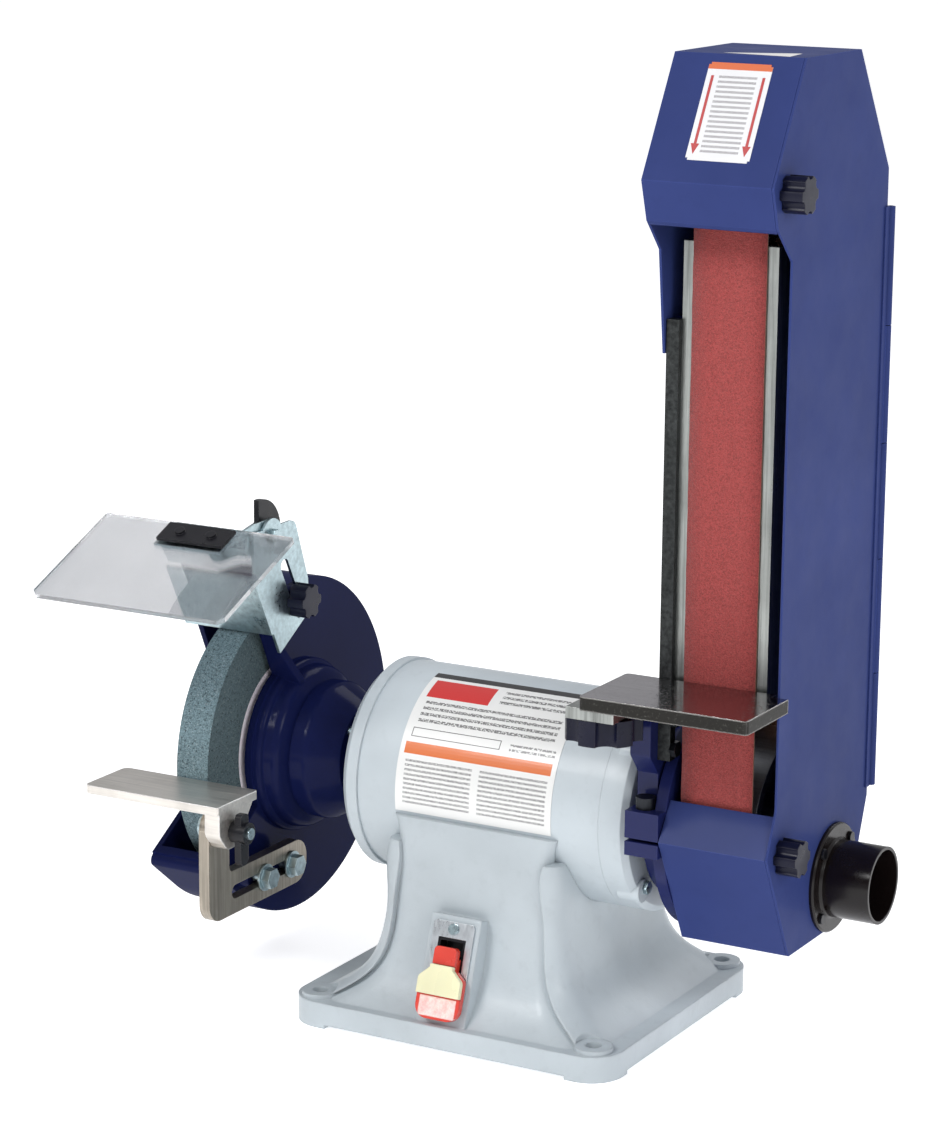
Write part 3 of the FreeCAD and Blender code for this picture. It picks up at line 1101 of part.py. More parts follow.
def make_idler():
    left = "drive_left - yoke_gap + 0.3"
    right = "drive_left + drive_wide + yoke_gap - 0.3"
    middle = "drive_left + drive_wide / 2"
    rim = "idler_r - gap"
    inner = rim + " - idler_rim"
    wheel = turned("IdlerWheel", [
        (left, "idler_axle_r + fit"), (right, "idler_axle_r + fit"), (right, "idler_hub_r"),
        (middle + " + idler_web / 2", "idler_hub_r"), (middle + " + idler_web / 2", inner),
        ("drive_left + drive_wide", inner), ("drive_left + drive_wide", rim + " - 0.6"), (middle, rim),
        ("drive_left", rim + " - 0.6"), ("drive_left", inner), (middle + " - idler_web / 2", inner),
        (middle + " - idler_web / 2", "idler_hub_r"), (left, "idler_hub_r"),
    ])
    keep(place(wheel, ("0",) + IDLER_AT), "idler_wheel")

    arm_inner_left = "drive_left - yoke_gap"
    arm_inner_right = "drive_left + drive_wide + yoke_gap"
    arms = [block("YokeArm%d" % i, (low, "idler_y - yoke_half", "yoke_low"),
                  (high, "idler_y + yoke_half", IDLER_AT[1]))
            for i, (low, high) in enumerate(((arm_inner_left + " - yoke_thick", arm_inner_left),
                                             (arm_inner_right, arm_inner_right + " + yoke_thick")))]
    ends = [rod("YokeEnd%d" % i, "yoke_half", low, high, IDLER_AT)
            for i, (low, high) in enumerate(((arm_inner_left + " - yoke_thick", arm_inner_left),
                                             (arm_inner_right, arm_inner_right + " + yoke_thick")))]
    bridge = block("YokeBridge", (arm_inner_left, "idler_y - yoke_half", "yoke_low"),
                   (arm_inner_right, "idler_y + yoke_half", "yoke_low + yoke_bridge"))
    post = rod("YokePost", "post_r", "post_low", "yoke_low", ("post_x", "idler_y"), "z")
    axle_hole = rod("YokeHole", "idler_axle_r", "drive_left - 20", "drive_left + drive_wide + 20", IDLER_AT)
    yoke = cut("IdlerYoke", fuse("YokeBody", bridge, post, *(arms + ends)), axle_hole)
    axle = rod("IdlerAxle", "idler_axle_r", arm_inner_left + " - yoke_thick - 2",
               arm_inner_right + " + yoke_thick + 2", IDLER_AT)
    keep(group("YokeAndAxle", yoke, axle), "idler_yoke_and_axle")


def belt_loop(body, name, extra):
    """The closed line of a belt round both wheels, a given distance outside the wheels' belt line."""
    sketch = sketch_in(body, name, "YZ_Plane")
    radii = [number("belt_r + " + extra), number("idler_r + " + extra)]
    centres = [Vector(0, 0, 0), Vector(number("idler_y"), number("idler_up"), 0)]
    along = centres[1] - centres[0]
    tilt = math.asin((radii[0] - radii[1]) / along.Length)
    heading = math.atan2(along.y, along.x)
    angles = [heading - math.pi / 2 + tilt, heading + math.pi / 2 - tilt]
    back, front = [Vector(math.cos(a), math.sin(a), 0) for a in angles]
    lower = sketch.addGeometry(Part.ArcOfCircle(Part.Circle(centres[0], Vector(0, 0, 1), radii[0]),
                                                angles[1], angles[0] + 2 * math.pi), False)
    upper = sketch.addGeometry(Part.ArcOfCircle(Part.Circle(centres[1], Vector(0, 0, 1), radii[1]),
                                                angles[0], angles[1]), False)
    rear = sketch.addGeometry(Part.LineSegment(centres[0] + back * radii[0], centres[1] + back * radii[1]),
                              False)
    fore = sketch.addGeometry(Part.LineSegment(centres[1] + front * radii[1],
                                               centres[0] + front * radii[0]), False)
    for first, spot, second, other in ((lower, 2, rear, 1), (rear, 2, upper, 1), (upper, 2, fore, 1),
                                       (fore, 2, lower, 1)):
        sketch.addConstraint(Sketcher.Constraint("Tangent", first, spot, second, other))
    pin_point(sketch, lower, 3, DRIVE_CENTRE)
    pin_point(sketch, upper, 3, ("idler_y", "idler_up"))
    for arc, radius in ((lower, "belt_r"), (upper, "idler_r")):
        index = sketch.addConstraint(Sketcher.Constraint("Radius", arc,
                                                         number("%s + %s" % (radius, extra))))
        bind(sketch, "Constraints[%d]" % index, "%s + %s" % (radius, extra))
    return sketch


def make_belt():
    loops = []
    for name, extra in (("BeltOutside", "belt_thick"), ("BeltInside", "0")):
        body = doc.addObject("PartDesign::Body", name)
        pad = body.newObject("PartDesign::Pad", name + "_pad")
        pad.Profile = belt_loop(body, name + "_loop", extra)
        bind(pad, "Length", "drive_wide")
        loops.append(place(body, ("drive_left", "0", "axis_z")))
    keep(cut("Belt", *loops), "abrasive_belt")


# ---------------------------------------------------------------- hood and door


def shell(name, solid_body, steel, open_faces):
    """Hollow a body to sheet thickness, leaving out the faces whose centre passes a test."""
    doc.recompute()
    solid = solid_body.Tip
    names = ["Face%d" % (i + 1) for i, face in enumerate(solid.Shape.Faces) if open_faces(face)]
    feature = solid_body.newObject("PartDesign::Thickness", name + "_shell")
    feature.Base = (solid, names)
    bind(feature, "Value", steel)
    feature.Mode = 0
    feature.Join = 1
    feature.Reversed = True
    return solid_body


def facing(face):
    """The outward normal at a flat face's middle."""
    u0, u1, v0, v1 = face.ParameterRange
    return face.normalAt((u0 + u1) / 2, (v0 + v1) / 2)


def make_hood():
    inside = "door_left - gap"
    upper = side_plate("HoodUpperBlank", [
        ("lip_y", "lip_z"), ("crease_y", "crease_z"), ("top_front", "top_z"), ("top_back", "top_z"),
        ("back_y", "back_top"), ("back_y", "cheek_low"), ("cheek_front", "cheek_low"),
        ("cheek_y", "cheek_z"),
    ], "hood_left", inside)
    lip_middle = (number("lip_z") + number("crease_z")) / 2

    def upper_open(face):
        way, middle = facing(face), face.CenterOfMass
        below_lip = way.y < -0.1 and middle.z < lip_middle - 1
        return way.x > 0.9 or way.z < -0.9 or below_lip
    shell("HoodUpper", upper, "steel", upper_open)
    tab_x = "tab_x"
    tab = side_plate("LatchTabHigh", [
        ("crease_y + 1", "crease_z"), ("lip_y + 0.6", "lip_z + 3"),
        ("latch_high_y + tab_half", "lip_z + 3"),
        ("latch_high_y + tab_half", "crease_z + 14"), ("crease_y + 9", "crease_z + 14"),
    ], tab_x, tab_x + " + steel")
    hole = rod("LatchHoleHigh", "latch_hole_r", tab_x + " - past", tab_x + " + steel + past",
               ("latch_high_y", "latch_high_z"))
    keep(cut("HoodUpper", fuse("HoodUpperBody", upper, tab), hole), "hood_upper")

    back = side_plate("BackPanelBlank", [
        ("0 - 20", "cheek_low - gap"), ("back_y", "cheek_low - gap"), ("back_y", "back_low"),
        ("bottom_half", "bottom_z"), ("0 - 20", "bottom_z"),
    ], "hood_left", inside)
    shell("BackPanel", back, "steel",
          lambda face: facing(face).x > 0.9 or abs(facing(face).z) > 0.9 or facing(face).y < -0.9)
    clear = rod("BackPanelClear", "disc_r + 4", "hood_left - past", "disc_right + past", ON_AXIS)
    below = block("BackPanelTrim", ("hood_left - past", "0 - 24", "bottom_z - past"),
                  ("hood_left + steel + past", "back_y + past", "axis_z"))
    keep(cut("BackPanel", back, clear, below), "back_panel")

    lower = side_plate("LowerGuardBlank", [
        ("panel_y", "panel_z"), ("belly_y", "belly_z"), ("0 - bottom_half", "bottom_z"),
        ("bottom_half - 2 * steel", "bottom_z"),
        ("bottom_half - 2 * steel", "bottom_z + 12"),
    ], "panel_left", inside)

    def lower_open(face):
        way = facing(face)
        return abs(way.x) > 0.9 or way.y > 0.3
    shell("LowerGuard", lower, "steel", lower_open)
    low_tab = block("LatchTabLow", (tab_x, "latch_low_y - tab_half", "latch_low_z - tab_half"),
                    (tab_x + " + steel", "latch_low_y + 9", "latch_low_z + tab_half"))
    low_reach = side_plate("LatchReachLow", [
        ("belly_y + steel", "belly_z"), ("latch_low_y", "latch_low_z + tab_half"),
        ("latch_low_y", "latch_low_z - tab_half"),
        ("belly_y + 8", "belly_z - 14"),
    ], tab_x, tab_x + " + steel")
    low_hole = rod("LatchHoleLow", "latch_hole_r", tab_x + " - past", tab_x + " + steel + past",
                   ("latch_low_y", "latch_low_z"))
    keep(cut("LowerGuard", fuse("LowerGuardBody", lower, low_tab, low_reach), low_hole), "lower_guard")


HINGE_AT = ("pivot_x", "pivot_door_y")


def knuckle_span(index, trim):
    """Lower and upper end of one knuckle, shortened a little at both ends."""
    pitch = "(hinge_high - hinge_low) / knuckles"
    return ("hinge_low + %d * %s + %s" % (index, pitch, trim),
            "hinge_low + %d * %s - %s" % (index + 1, pitch, trim))


def hinge_leaf(name, plate, web_low, web_high, parity, bore):
    """A hinge leaf: its plate with every other knuckle of the barrel."""
    pieces, bores = [plate], []
    for index in range(int(number("knuckles"))):
        if index % 2 != parity:
            continue
        low, high = knuckle_span(index, "gap")
        pieces.append(rod("%s_knuckle_%d" % (name, index), "knuckle_r", low, high, HINGE_AT, "z"))
        pieces.append(block("%s_web_%d" % (name, index), web_low + (low,), web_high + (high,)))
        bores.append(rod("%s_bore_%d" % (name, index), bore, low + " - past / 10", high + " + past / 10",
                         HINGE_AT, "z"))
    return cut(name, fuse(name + "_body", *pieces), *bores)


def make_door():
    outside = "door_left + door_thick"
    panel = side_plate("DoorPanel", [
        ("top_front", "top_z"), ("top_back", "top_z"), ("back_y - 0.5", "back_top"),
        ("back_y - 0.5", "back_low"),
        ("bottom_half", "bottom_z"), ("0 - bottom_half", "bottom_z"), ("belly_y", "belly_z"),
        ("door_front", "panel_z + 5"), ("door_front", "door_high"), ("lip_y", "lip_z"),
        ("crease_y", "crease_z"),
    ], "door_left", outside)
    port_hole = rod("DoorPortHole", "port_r - port_wall", "door_left - past", outside + " + past",
                    ("port_y", "port_z"))
    knob_spots = {"upper": ("latch_high_y", "latch_high_z"), "lower": ("latch_low_y", "latch_low_z")}
    knob_holes = [rod("DoorKnobHole_" + side, "latch_stud_r", "door_left - past", outside + " + past", spot)
                  for side, spot in knob_spots.items()]
    port_spots = [("port_y + port_screw_at * cos(%d)" % angle, "port_z + port_screw_at * sin(%d)" % angle)
                  for angle in TIE_ANGLES]
    port_drills = [rod("PortDrill%d" % i, "screw_r", "door_left - past", outside + " + port_flange + past",
                       spot)
                   for i, spot in enumerate(port_spots)]
    keep(cut("DoorPanelDrilled", panel, port_hole, *(knob_holes + port_drills)), "side_door")

    flange_end = outside + " + port_flange"
    port = place(turned("DustPort", [
        (outside, "port_r - port_wall"), (outside, "port_flange_r"), (flange_end + " - 1", "port_flange_r"),
        (flange_end, "port_flange_r - 1"), (flange_end, "port_r + 1.5"), (flange_end + " + 1.5", "port_r"),
        ("port_end - port_bead", "port_r"), ("port_end", "port_r"), ("port_end", "port_r - port_wall"),
    ]), ("0", "port_y", "port_z"))
    keep(cut("DustPortDrilled", port, *port_drills), "dust_port")
    port_screws = []
    for i, spot in enumerate(port_spots):
        head = rod("PortScrewHead%d" % i, "2 * screw_r", flange_end, flange_end + " + 1.8", spot)
        shank = rod("PortScrewShank%d" % i, "screw_r", "door_left", flange_end, spot)
        port_screws.append(fuse("PortScrew%d" % i, head, shank))

    hood_leaf = block("HoodLeafPlate", ("door_left - gap - leaf_wide", "back_y", "hinge_low"),
                      ("door_left - gap", "back_y + leaf_thick", "hinge_high"))
    leaf = hinge_leaf("HoodLeaf", hood_leaf, ("door_left - gap - 2", "back_y"),
                      ("pivot_x - pin_r + 0.2", "back_y + 2.4"), 0, "pin_r")
    pin = rod("HingePin", "pin_r", "hinge_low", "hinge_high", HINGE_AT, "z")
    keep(group("LeafAndPin", leaf, pin), "hood_hinge_leaf_and_pin")
    door_leaf = block("DoorLeafPlate", (outside, "back_y - leaf_lap", "hinge_low"),
                      (outside + " + leaf_thick", "back_y + 0.4", "hinge_high"))
    keep(hinge_leaf("DoorLeaf", door_leaf, (outside, "back_y - 1"),
                    (outside + " + leaf_thick", "back_y + 2.6"),
                    1, "pin_r + fit"), "door_hinge_leaf")

    studs = []
    for side, spot in knob_spots.items():
        studs.append(rod("LatchStud_" + side, "latch_stud_r", "door_left - latch_reach",
                         outside + " + gap + 0.65 * latch_long", spot))
        keep(lobed_knob("DoorKnob_" + side, "latch_r", "latch_long", "latch_stud_r + fit",
                        (outside + " + gap",) + spot, Rotation()), side + "_door_knob")
    keep(group("DoorFasteners", *(studs + port_screws)), "door_fasteners")


# ---------------------------------------------------------------- belt table


def make_table(arm_screws):
    under = "table_top - table_thick"
    top = profile("TableTop", "XY_Plane", [
        ("table_left", "table_front", "3"), ("table_right", "table_front", "3"), ("table_right", "notch_y"),
        ("notch_x", "notch_y"), ("notch_x", "table_back"), ("table_left", "table_back", "3"),
    ], "table_thick", ("0", "0", under))
    stud_hole = rod("TableStudHole", "table_stud_r", under + " - past", under + " + 5",
                    ("stud_x", "stud_y"), "z")
    stud = rod("TableStud", "table_stud_r", "shelf_z - gap - 0.65 * table_knob_thick", under + " + 5",
               ("stud_x", "stud_y"), "z")
    keep(group("TableAndStud", cut("TableDrilled", top, stud_hole), stud), "work_table_and_stud")

    shelf = block("TableShelf", ("shelf_left", "shelf_front", "shelf_z"),
                  ("shelf_right", "shelf_back", "shelf_z + shelf_thick"))
    slot = fuse("ShelfSlot",
                block("ShelfSlotMiddle", ("stud_x - shelf_slot", "stud_y - slot_travel", "shelf_z - past"),
                      ("stud_x + shelf_slot", "stud_y", "shelf_z + shelf_thick + past")),
                rod("ShelfSlotBack", "shelf_slot", "shelf_z - past", "shelf_z + shelf_thick + past",
                    ("stud_x", "stud_y"), "z"),
                rod("ShelfSlotFront", "shelf_slot", "shelf_z - past", "shelf_z + shelf_thick + past",
                    ("stud_x", "stud_y - slot_travel"), "z"))
    drills = []
    screws = []
    for i, spot in enumerate(SHELF_SPOTS):
        drills.append(rod("ShelfDrill%d" % i, "stud_r", "shelf_z - past", "shelf_z + shelf_thick + past",
                          spot, "z"))
        drills.append(rod("ShelfSink%d" % i, "2 * stud_r", "shelf_z + shelf_thick - 3",
                          "shelf_z + shelf_thick + past",
                          spot, "z"))
        screws.append(fuse("ShelfScrew%d" % i,
                           rod("ShelfScrewHead%d" % i, "2 * stud_r", "shelf_z + shelf_thick - 3",
                               "shelf_z + shelf_thick - gap", spot, "z"),
                           rod("ShelfScrewShank%d" % i, "stud_r", "shelf_z - 11",
                               "shelf_z + shelf_thick - 3", spot, "z")))
    keep(cut("TableBracket", shelf, slot, *drills), "table_bracket")
    keep(group("ArmFasteners", *(arm_screws + screws)), "arm_fasteners")
    keep(lobed_knob("TableKnob", "table_knob_r", "table_knob_thick", "table_stud_r + fit",
                    ("stud_x", "stud_y", "shelf_z - gap"), AXIS_TURN["x"]), "table_knob")


# ---------------------------------------------------------------- build, check and write

make_spindle()
make_bearings()
make_motor()
make_switch(make_pedestal())
make_guard(make_rest())
make_arrestor()
make_shield()
arm_screws = make_arm()
make_idler()
make_belt()
make_hood()
make_door()
make_table(arm_screws)
doc.recompute()

faults = []
for thing in doc.Objects:
    if "Invalid" in thing.State or "Error" in thing.State:
        faults.append("%s: %s" % (thing.Label, thing.State))
for thing in nodes:
    if thing.Shape.isNull() or not thing.Shape.isValid() or not thing.Shape.Solids:
        faults.append("%s: bad shape" % thing.Label)
if faults:
    raise RuntimeError("\n".join(faults))

os.makedirs("parts", exist_ok=True)
for thing in nodes:
    thing.Shape.exportStep(os.path.join("parts", thing.Label + ".step"))
    box = thing.Shape.BoundBox
    print("%-24s solids %d  x %7.1f..%7.1f  y %7.1f..%7.1f  z %7.1f..%7.1f" % (
        thing.Label, len(thing.Shape.Solids), box.XMin, box.XMax, box.YMin, box.YMax, box.ZMin, box.ZMax))
print("%d sub-parts" % len(nodes))
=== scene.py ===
"""The belt grinder's looks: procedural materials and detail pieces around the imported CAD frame."""
import math
import random

import bmesh
import bpy
from mathutils import Matrix, Vector


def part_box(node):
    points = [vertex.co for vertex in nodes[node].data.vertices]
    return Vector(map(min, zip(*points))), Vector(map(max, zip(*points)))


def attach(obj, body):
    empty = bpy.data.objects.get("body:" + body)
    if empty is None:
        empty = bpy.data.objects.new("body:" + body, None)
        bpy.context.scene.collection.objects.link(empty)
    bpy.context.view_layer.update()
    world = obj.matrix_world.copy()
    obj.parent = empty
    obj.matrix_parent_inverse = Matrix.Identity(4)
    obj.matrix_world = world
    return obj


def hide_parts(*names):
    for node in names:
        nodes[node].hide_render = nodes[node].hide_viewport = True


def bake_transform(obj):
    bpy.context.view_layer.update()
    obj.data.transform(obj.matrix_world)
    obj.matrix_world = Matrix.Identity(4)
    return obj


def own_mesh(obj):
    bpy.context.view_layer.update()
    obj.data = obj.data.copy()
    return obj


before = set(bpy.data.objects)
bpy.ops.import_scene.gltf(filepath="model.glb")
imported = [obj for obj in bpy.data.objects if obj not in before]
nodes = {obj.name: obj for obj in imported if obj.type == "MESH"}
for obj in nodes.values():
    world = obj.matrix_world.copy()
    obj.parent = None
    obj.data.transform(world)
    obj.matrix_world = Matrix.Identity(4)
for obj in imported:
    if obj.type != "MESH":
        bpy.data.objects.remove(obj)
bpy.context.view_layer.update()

scene = bpy.context.scene

# ---------------------------------------------------------------- sizes taken over from the CAD, in metres

AXIS_Z = 0.1605                     # height of the spindle
SHELL_R = 0.072                     # motor shell
DRIVE_R, IDLER_R = 0.0635, 0.0381   # inside of the belt on its two wheels
IDLER_Y, IDLER_UP = -0.0254, 0.4485
BELT_THICK = 0.0012
SPRING_WIRE, SPRING_TURNS = 0.0015, 5                  # the wire's radius
HOOD_SLOPE = ((-0.103, 0.5908), (-0.0593, 0.6663))     # lower and upper edge (y, z) of its front slope
HOOD_TOP = 0.6663
PANE_SLOPE = math.radians(23.4)
SWITCH_X = -0.005                   # middle of the switch

# ---------------------------------------------------------------- sizes of the detail

ALONG_X, ALONG_Z = (0.03, 1, 1), (1, 1, 0.03)          # stretch of a brushed grain
STACKED_X = (1, 0.05, 0.05)                            # thin sheets, stacked along X
STONE_GRAINS, BELT_GRAINS = 1700, 1500                 # grains per metre
SPLICE_SPAN, SPLICE_SKEW = (0.790, 0.7915), 0.024      # the belt's glued seam, along the belt and across it
LENGTH_PER_WIDTH = 20                                  # makes the weave's threads square in the belt's UV
BELT_GAP, FRAY = 0.0001, 0.0003                        # between belt and wheels, and along the belt's edges
IDLER_STEPS, DRIVE_STEPS, RUN_STEPS = 40, 64, 60       # points of the belt on each wheel and in between
STEPS_PER_TURN = 32                                    # points in a turn of the spring
LABEL_OUT, HOOD_LABEL_OUT, LABEL_THICK = 0.00035, 0.0004, 0.0003
ARROW_OUT, ARROW_THICK = 0.00055, 0.00025
EDGE_TURN = (0.999, 0.86)                              # cosine of the normal's turn, off and on an edge
FLOOR_RADIUS, FLOOR_GLOW = 40, 0.55
SKY_COLOR, SKY_STRENGTH = (0.96, 0.97, 1, 1), 0.52
LIGHTS = (("key", (-1.0, -2.3, 2.3), (0, 0, 0.3), 0.9, 44),    # name, place, aim, size and watts
          ("fill", (2.6, -1.2, 1.6), (0, 0, 0.3), 1.0, 19),
          ("rim", (0.6, 2.4, 2.4), (0, 0, 0.4), 1.6, 28))

# ---------------------------------------------------------------- material helpers


def linear(red, green, blue):
    """A display colour given as 0 to 255, as the linear colour that a shader wants."""
    def channel(value):
        value /= 255
        return value / 12.92 if value <= 0.04045 else ((value + 0.055) / 1.055) ** 2.4
    return (channel(red), channel(green), channel(blue), 1)


def shade(color, factor):
    return tuple(min(1, part * factor) for part in color[:3]) + (1,)


def faded(color, factor, lift):
    return tuple(part * factor + lift for part in color[:3]) + (1,)


class Look:
    """One material's node tree, built up with short calls."""

    def __init__(self, name, **constants):
        self.material = bpy.data.materials.new(name)
        self.material.use_nodes = True
        self.tree = self.material.node_tree
        self.shader = self.tree.nodes["Principled BSDF"]
        self.where = self.add("ShaderNodeTexCoord")
        self.normal = None
        for socket, value in constants.items():
            self.shader.inputs[socket.replace("_", " ")].default_value = value

    def add(self, kind, **settings):
        node = self.tree.nodes.new(kind)
        for key, value in settings.items():
            setattr(node, key, value)
        return node

    def put(self, socket, value):
        """Link a socket or set a constant."""
        if isinstance(value, bpy.types.NodeSocket):
            self.tree.links.new(value, socket)
        else:
            socket.default_value = value

    def math(self, operation, a, b=0.0):
        node = self.add("ShaderNodeMath", operation=operation)
        self.put(node.inputs[0], a)
        self.put(node.inputs[1], b)
        return node.outputs[0]

    def spread(self, value, low, high, to_low=0.0, to_high=1.0):
        """Map a range to another one, clamped."""
        node = self.add("ShaderNodeMapRange")
        for socket, part in zip(node.inputs, (value, low, high, to_low, to_high)):
            self.put(socket, part)
        return node.outputs[0]

    def mix(self, factor, a, b):
        """a where the factor is 0, b where it is 1, both colours."""
        node = self.add("ShaderNodeMix", data_type="RGBA")
        self.put(node.inputs[0], factor)
        self.put(node.inputs[6], a)
        self.put(node.inputs[7], b)
        return node.outputs[2]

    def coordinates(self, stretch=(1, 1, 1), turn=(0, 0, 0), source="Object"):
        node = self.add("ShaderNodeMapping")
        self.put(node.inputs["Vector"], self.where.outputs[source])
        node.inputs["Scale"].default_value = stretch
        node.inputs["Rotation"].default_value = turn
        return node.outputs[0]

    def noise(self, scale, detail=3, rough=0.5, stretch=(1, 1, 1), turn=(0, 0, 0), source="Object"):
        node = self.add("ShaderNodeTexNoise")
        self.put(node.inputs["Vector"], self.coordinates(stretch, turn, source))
        node.inputs["Scale"].default_value = scale
        node.inputs["Detail"].default_value = detail
        node.inputs["Roughness"].default_value = rough
        return node.outputs["Fac"]

    def cells(self, scale, output="Color"):
        node = self.add("ShaderNodeTexVoronoi")
        self.put(node.inputs["Vector"], self.coordinates())
        node.inputs["Scale"].default_value = scale
        return node.outputs[output]

    def channels(self, color):
        """A colour's red, green and blue."""
        node = self.add("ShaderNodeSeparateColor")
        self.put(node.inputs[0], color)
        return node.outputs

    def axis(self, letter, source="Object"):
        """The X, Y or Z of the place, or of another output of the coordinates' node."""
        node = self.add("ShaderNodeSeparateXYZ")
        self.put(node.inputs[0], self.where.outputs[source])
        return node.outputs["XYZ".index(letter)]

    def band(self, value, low, high):
        """1 between two values, 0 outside."""
        over, under = self.math("GREATER_THAN", value, low), self.math("LESS_THAN", value, high)
        return self.math("MULTIPLY", over, under)

    def triangle(self, corners, above):
        """1 inside a triangle of (x, y) corners, counter-clockwise, and above a height."""
        x, y = self.axis("X"), self.axis("Y")
        inside = self.math("GREATER_THAN", self.axis("Z"), above)
        for (ax, ay), (bx, by) in zip(corners, corners[1:] + corners[:1]):
            rise = self.math("MULTIPLY", self.math("SUBTRACT", y, ay), bx - ax)
            run = self.math("MULTIPLY", self.math("SUBTRACT", x, ax), by - ay)
            inside = self.math("MULTIPLY", inside, self.math("GREATER_THAN", rise, run))
        return inside

    def rounded(self, radius):
        """Round the sharp edges in the shading and return a mask that is 1 along them."""
        bevel = self.add("ShaderNodeBevel", samples=4)
        bevel.inputs["Radius"].default_value = radius
        self.normal = bevel.outputs[0]
        flat = self.add("ShaderNodeNewGeometry")
        dot = self.add("ShaderNodeVectorMath", operation="DOT_PRODUCT")
        self.put(dot.inputs[0], bevel.outputs[0])
        self.put(dot.inputs[1], flat.outputs["Normal"])
        return self.spread(dot.outputs["Value"], *EDGE_TURN)

    def bump(self, height, distance, strength=1.0):
        node = self.add("ShaderNodeBump")
        node.inputs["Strength"].default_value = strength
        node.inputs["Distance"].default_value = distance
        self.put(node.inputs["Height"], height)
        if self.normal is not None:
            self.put(node.inputs["Normal"], self.normal)
        self.normal = node.outputs[0]

    def done(self, color, rough):
        self.put(self.shader.inputs["Base Color"], color)
        self.put(self.shader.inputs["Roughness"], rough)
        if self.normal is not None:
            self.put(self.shader.inputs["Normal"], self.normal)
        return self.material


# ---------------------------------------------------------------- materials


def paint(name, color, rough=0.3, edge=0.0008, peel=0.00003, cast=0.0, wear_and_highlight_amount=0.35, coat=0.35, shine=0.5,
          edge_highlight=1.7, patch=None):
    """Sprayed enamel: a little orange peel, painted highlight and some wear on the edges, uneven over
    castings.
    patch is a triangle of (x, y) points, counter-clockwise, coloured white on the topmost face."""
    look = Look(name, Coat_Weight=coat, Coat_Roughness=0.16, Specular_IOR_Level=shine)
    rim = look.rounded(edge)
    broad = look.noise(7, 4, 0.55)
    fine = look.noise(95, 5, 0.6)
    edge_wear_and_highlight_mask = look.math("MULTIPLY", rim, look.spread(look.noise(140, 4, 0.65), 0.38, 0.72))
    tone = look.mix(look.spread(broad, 0.3, 0.7), shade(color, 0.86), shade(color, 1.1))
    tone = look.mix(look.spread(fine, 0.55, 0.85, 0, 0.35), tone, shade(color, 0.7))
    # painted highlight: the edges are lightened by the factor edge_highlight
    tone = look.mix(look.math("MULTIPLY", rim, 0.5), tone, shade(color, edge_highlight))
    # lighter in patches along the edges: partly worn paint, partly painted highlight; the same mask also
    # roughens the gloss
    tone = look.mix(look.math("MULTIPLY", edge_wear_and_highlight_mask, wear_and_highlight_amount), tone, shade(color, 2.1))
    if patch:
        # a white triangle on the hood's top face
        tone = look.mix(look.triangle(patch, HOOD_TOP - 0.0002), tone, linear(232, 230, 228))
    if cast:
        look.bump(look.noise(62, 5, 0.6), cast, 0.8)
        look.bump(look.noise(240, 3, 0.6), cast * 0.22, 0.7)
    look.bump(look.noise(620, 2, 0.5), peel)
    gloss = look.spread(look.noise(38, 4, 0.6), 0.25, 0.8, rough - 0.07, rough + 0.12)
    return look.done(tone, look.math("ADD", gloss, look.math("MULTIPLY", edge_wear_and_highlight_mask, 0.15)))


def metal(name, color, rough=0.3, grain=(1, 1, 1), grain_scale=900, depth=0.00002, edge=0.0005, stain=0.5,
          contrast=0.18, metallic=1.0, cast=0.0):
    """Bare or plated metal, with grain along one direction, stains and painted highlights on the edges."""
    look = Look(name, Metallic=metallic)
    rim = look.rounded(edge)
    lines = look.noise(grain_scale, 4, 0.6, stretch=grain)
    cloud = look.noise(26, 5, 0.6)
    tone = look.mix(look.spread(lines, 0.3, 0.7), shade(color, 1 - contrast), shade(color, 1 + contrast))
    tone = look.mix(look.spread(cloud, 0.45, 0.8, 0, stain), tone, shade(color, 0.62))
    # painted highlight: the edges are lightened
    tone = look.mix(look.math("MULTIPLY", rim, 0.6), tone, shade(color, 1.55))
    look.bump(lines, depth)
    if cast:
        look.bump(look.noise(230, 5, 0.7), cast)
    gloss = look.spread(look.math("ADD", lines, cloud), 0.6, 1.4, rough - 0.08, rough + 0.14)
    return look.done(tone, gloss)


def table_steel():
    """A polished steel top with dark, pitted mill scale on its front edge and underside."""
    look = Look("polished_steel", Metallic=1.0)
    rim = look.rounded(0.0014)
    facing_x, facing_y = (look.math("ABSOLUTE", look.axis(letter, "Normal")) for letter in "XY")
    sides = look.math("MAXIMUM", facing_x, facing_y)
    below = look.spread(look.axis("Z", "Normal"), -0.4, -0.8)
    scale = look.math("MAXIMUM", look.spread(sides, 0.55, 0.75), below)
    lines = look.noise(600, 4, 0.6, stretch=ALONG_X)
    color = linear(157, 153, 156)
    tone = look.mix(look.spread(lines, 0.3, 0.7), shade(color, 0.9), shade(color, 1.1))
    pits = look.spread(look.noise(420, 5, 0.7), 0.56, 0.7)
    crust = look.mix(pits, linear(52, 51, 49), linear(84, 83, 79))
    tone = look.mix(scale, tone, crust)
    # painted highlight: the edges are lightened
    tone = look.mix(look.math("MULTIPLY", rim, 0.7), tone, linear(206, 204, 200))
    look.bump(lines, 0.00002)
    look.bump(pits, 0.0002, 0.4)
    smooth = look.spread(look.noise(26, 5, 0.6), 0.3, 0.8, 0.1, 0.2)
    return look.done(tone, look.math("ADD", smooth, look.math("MULTIPLY", scale, 0.35)))


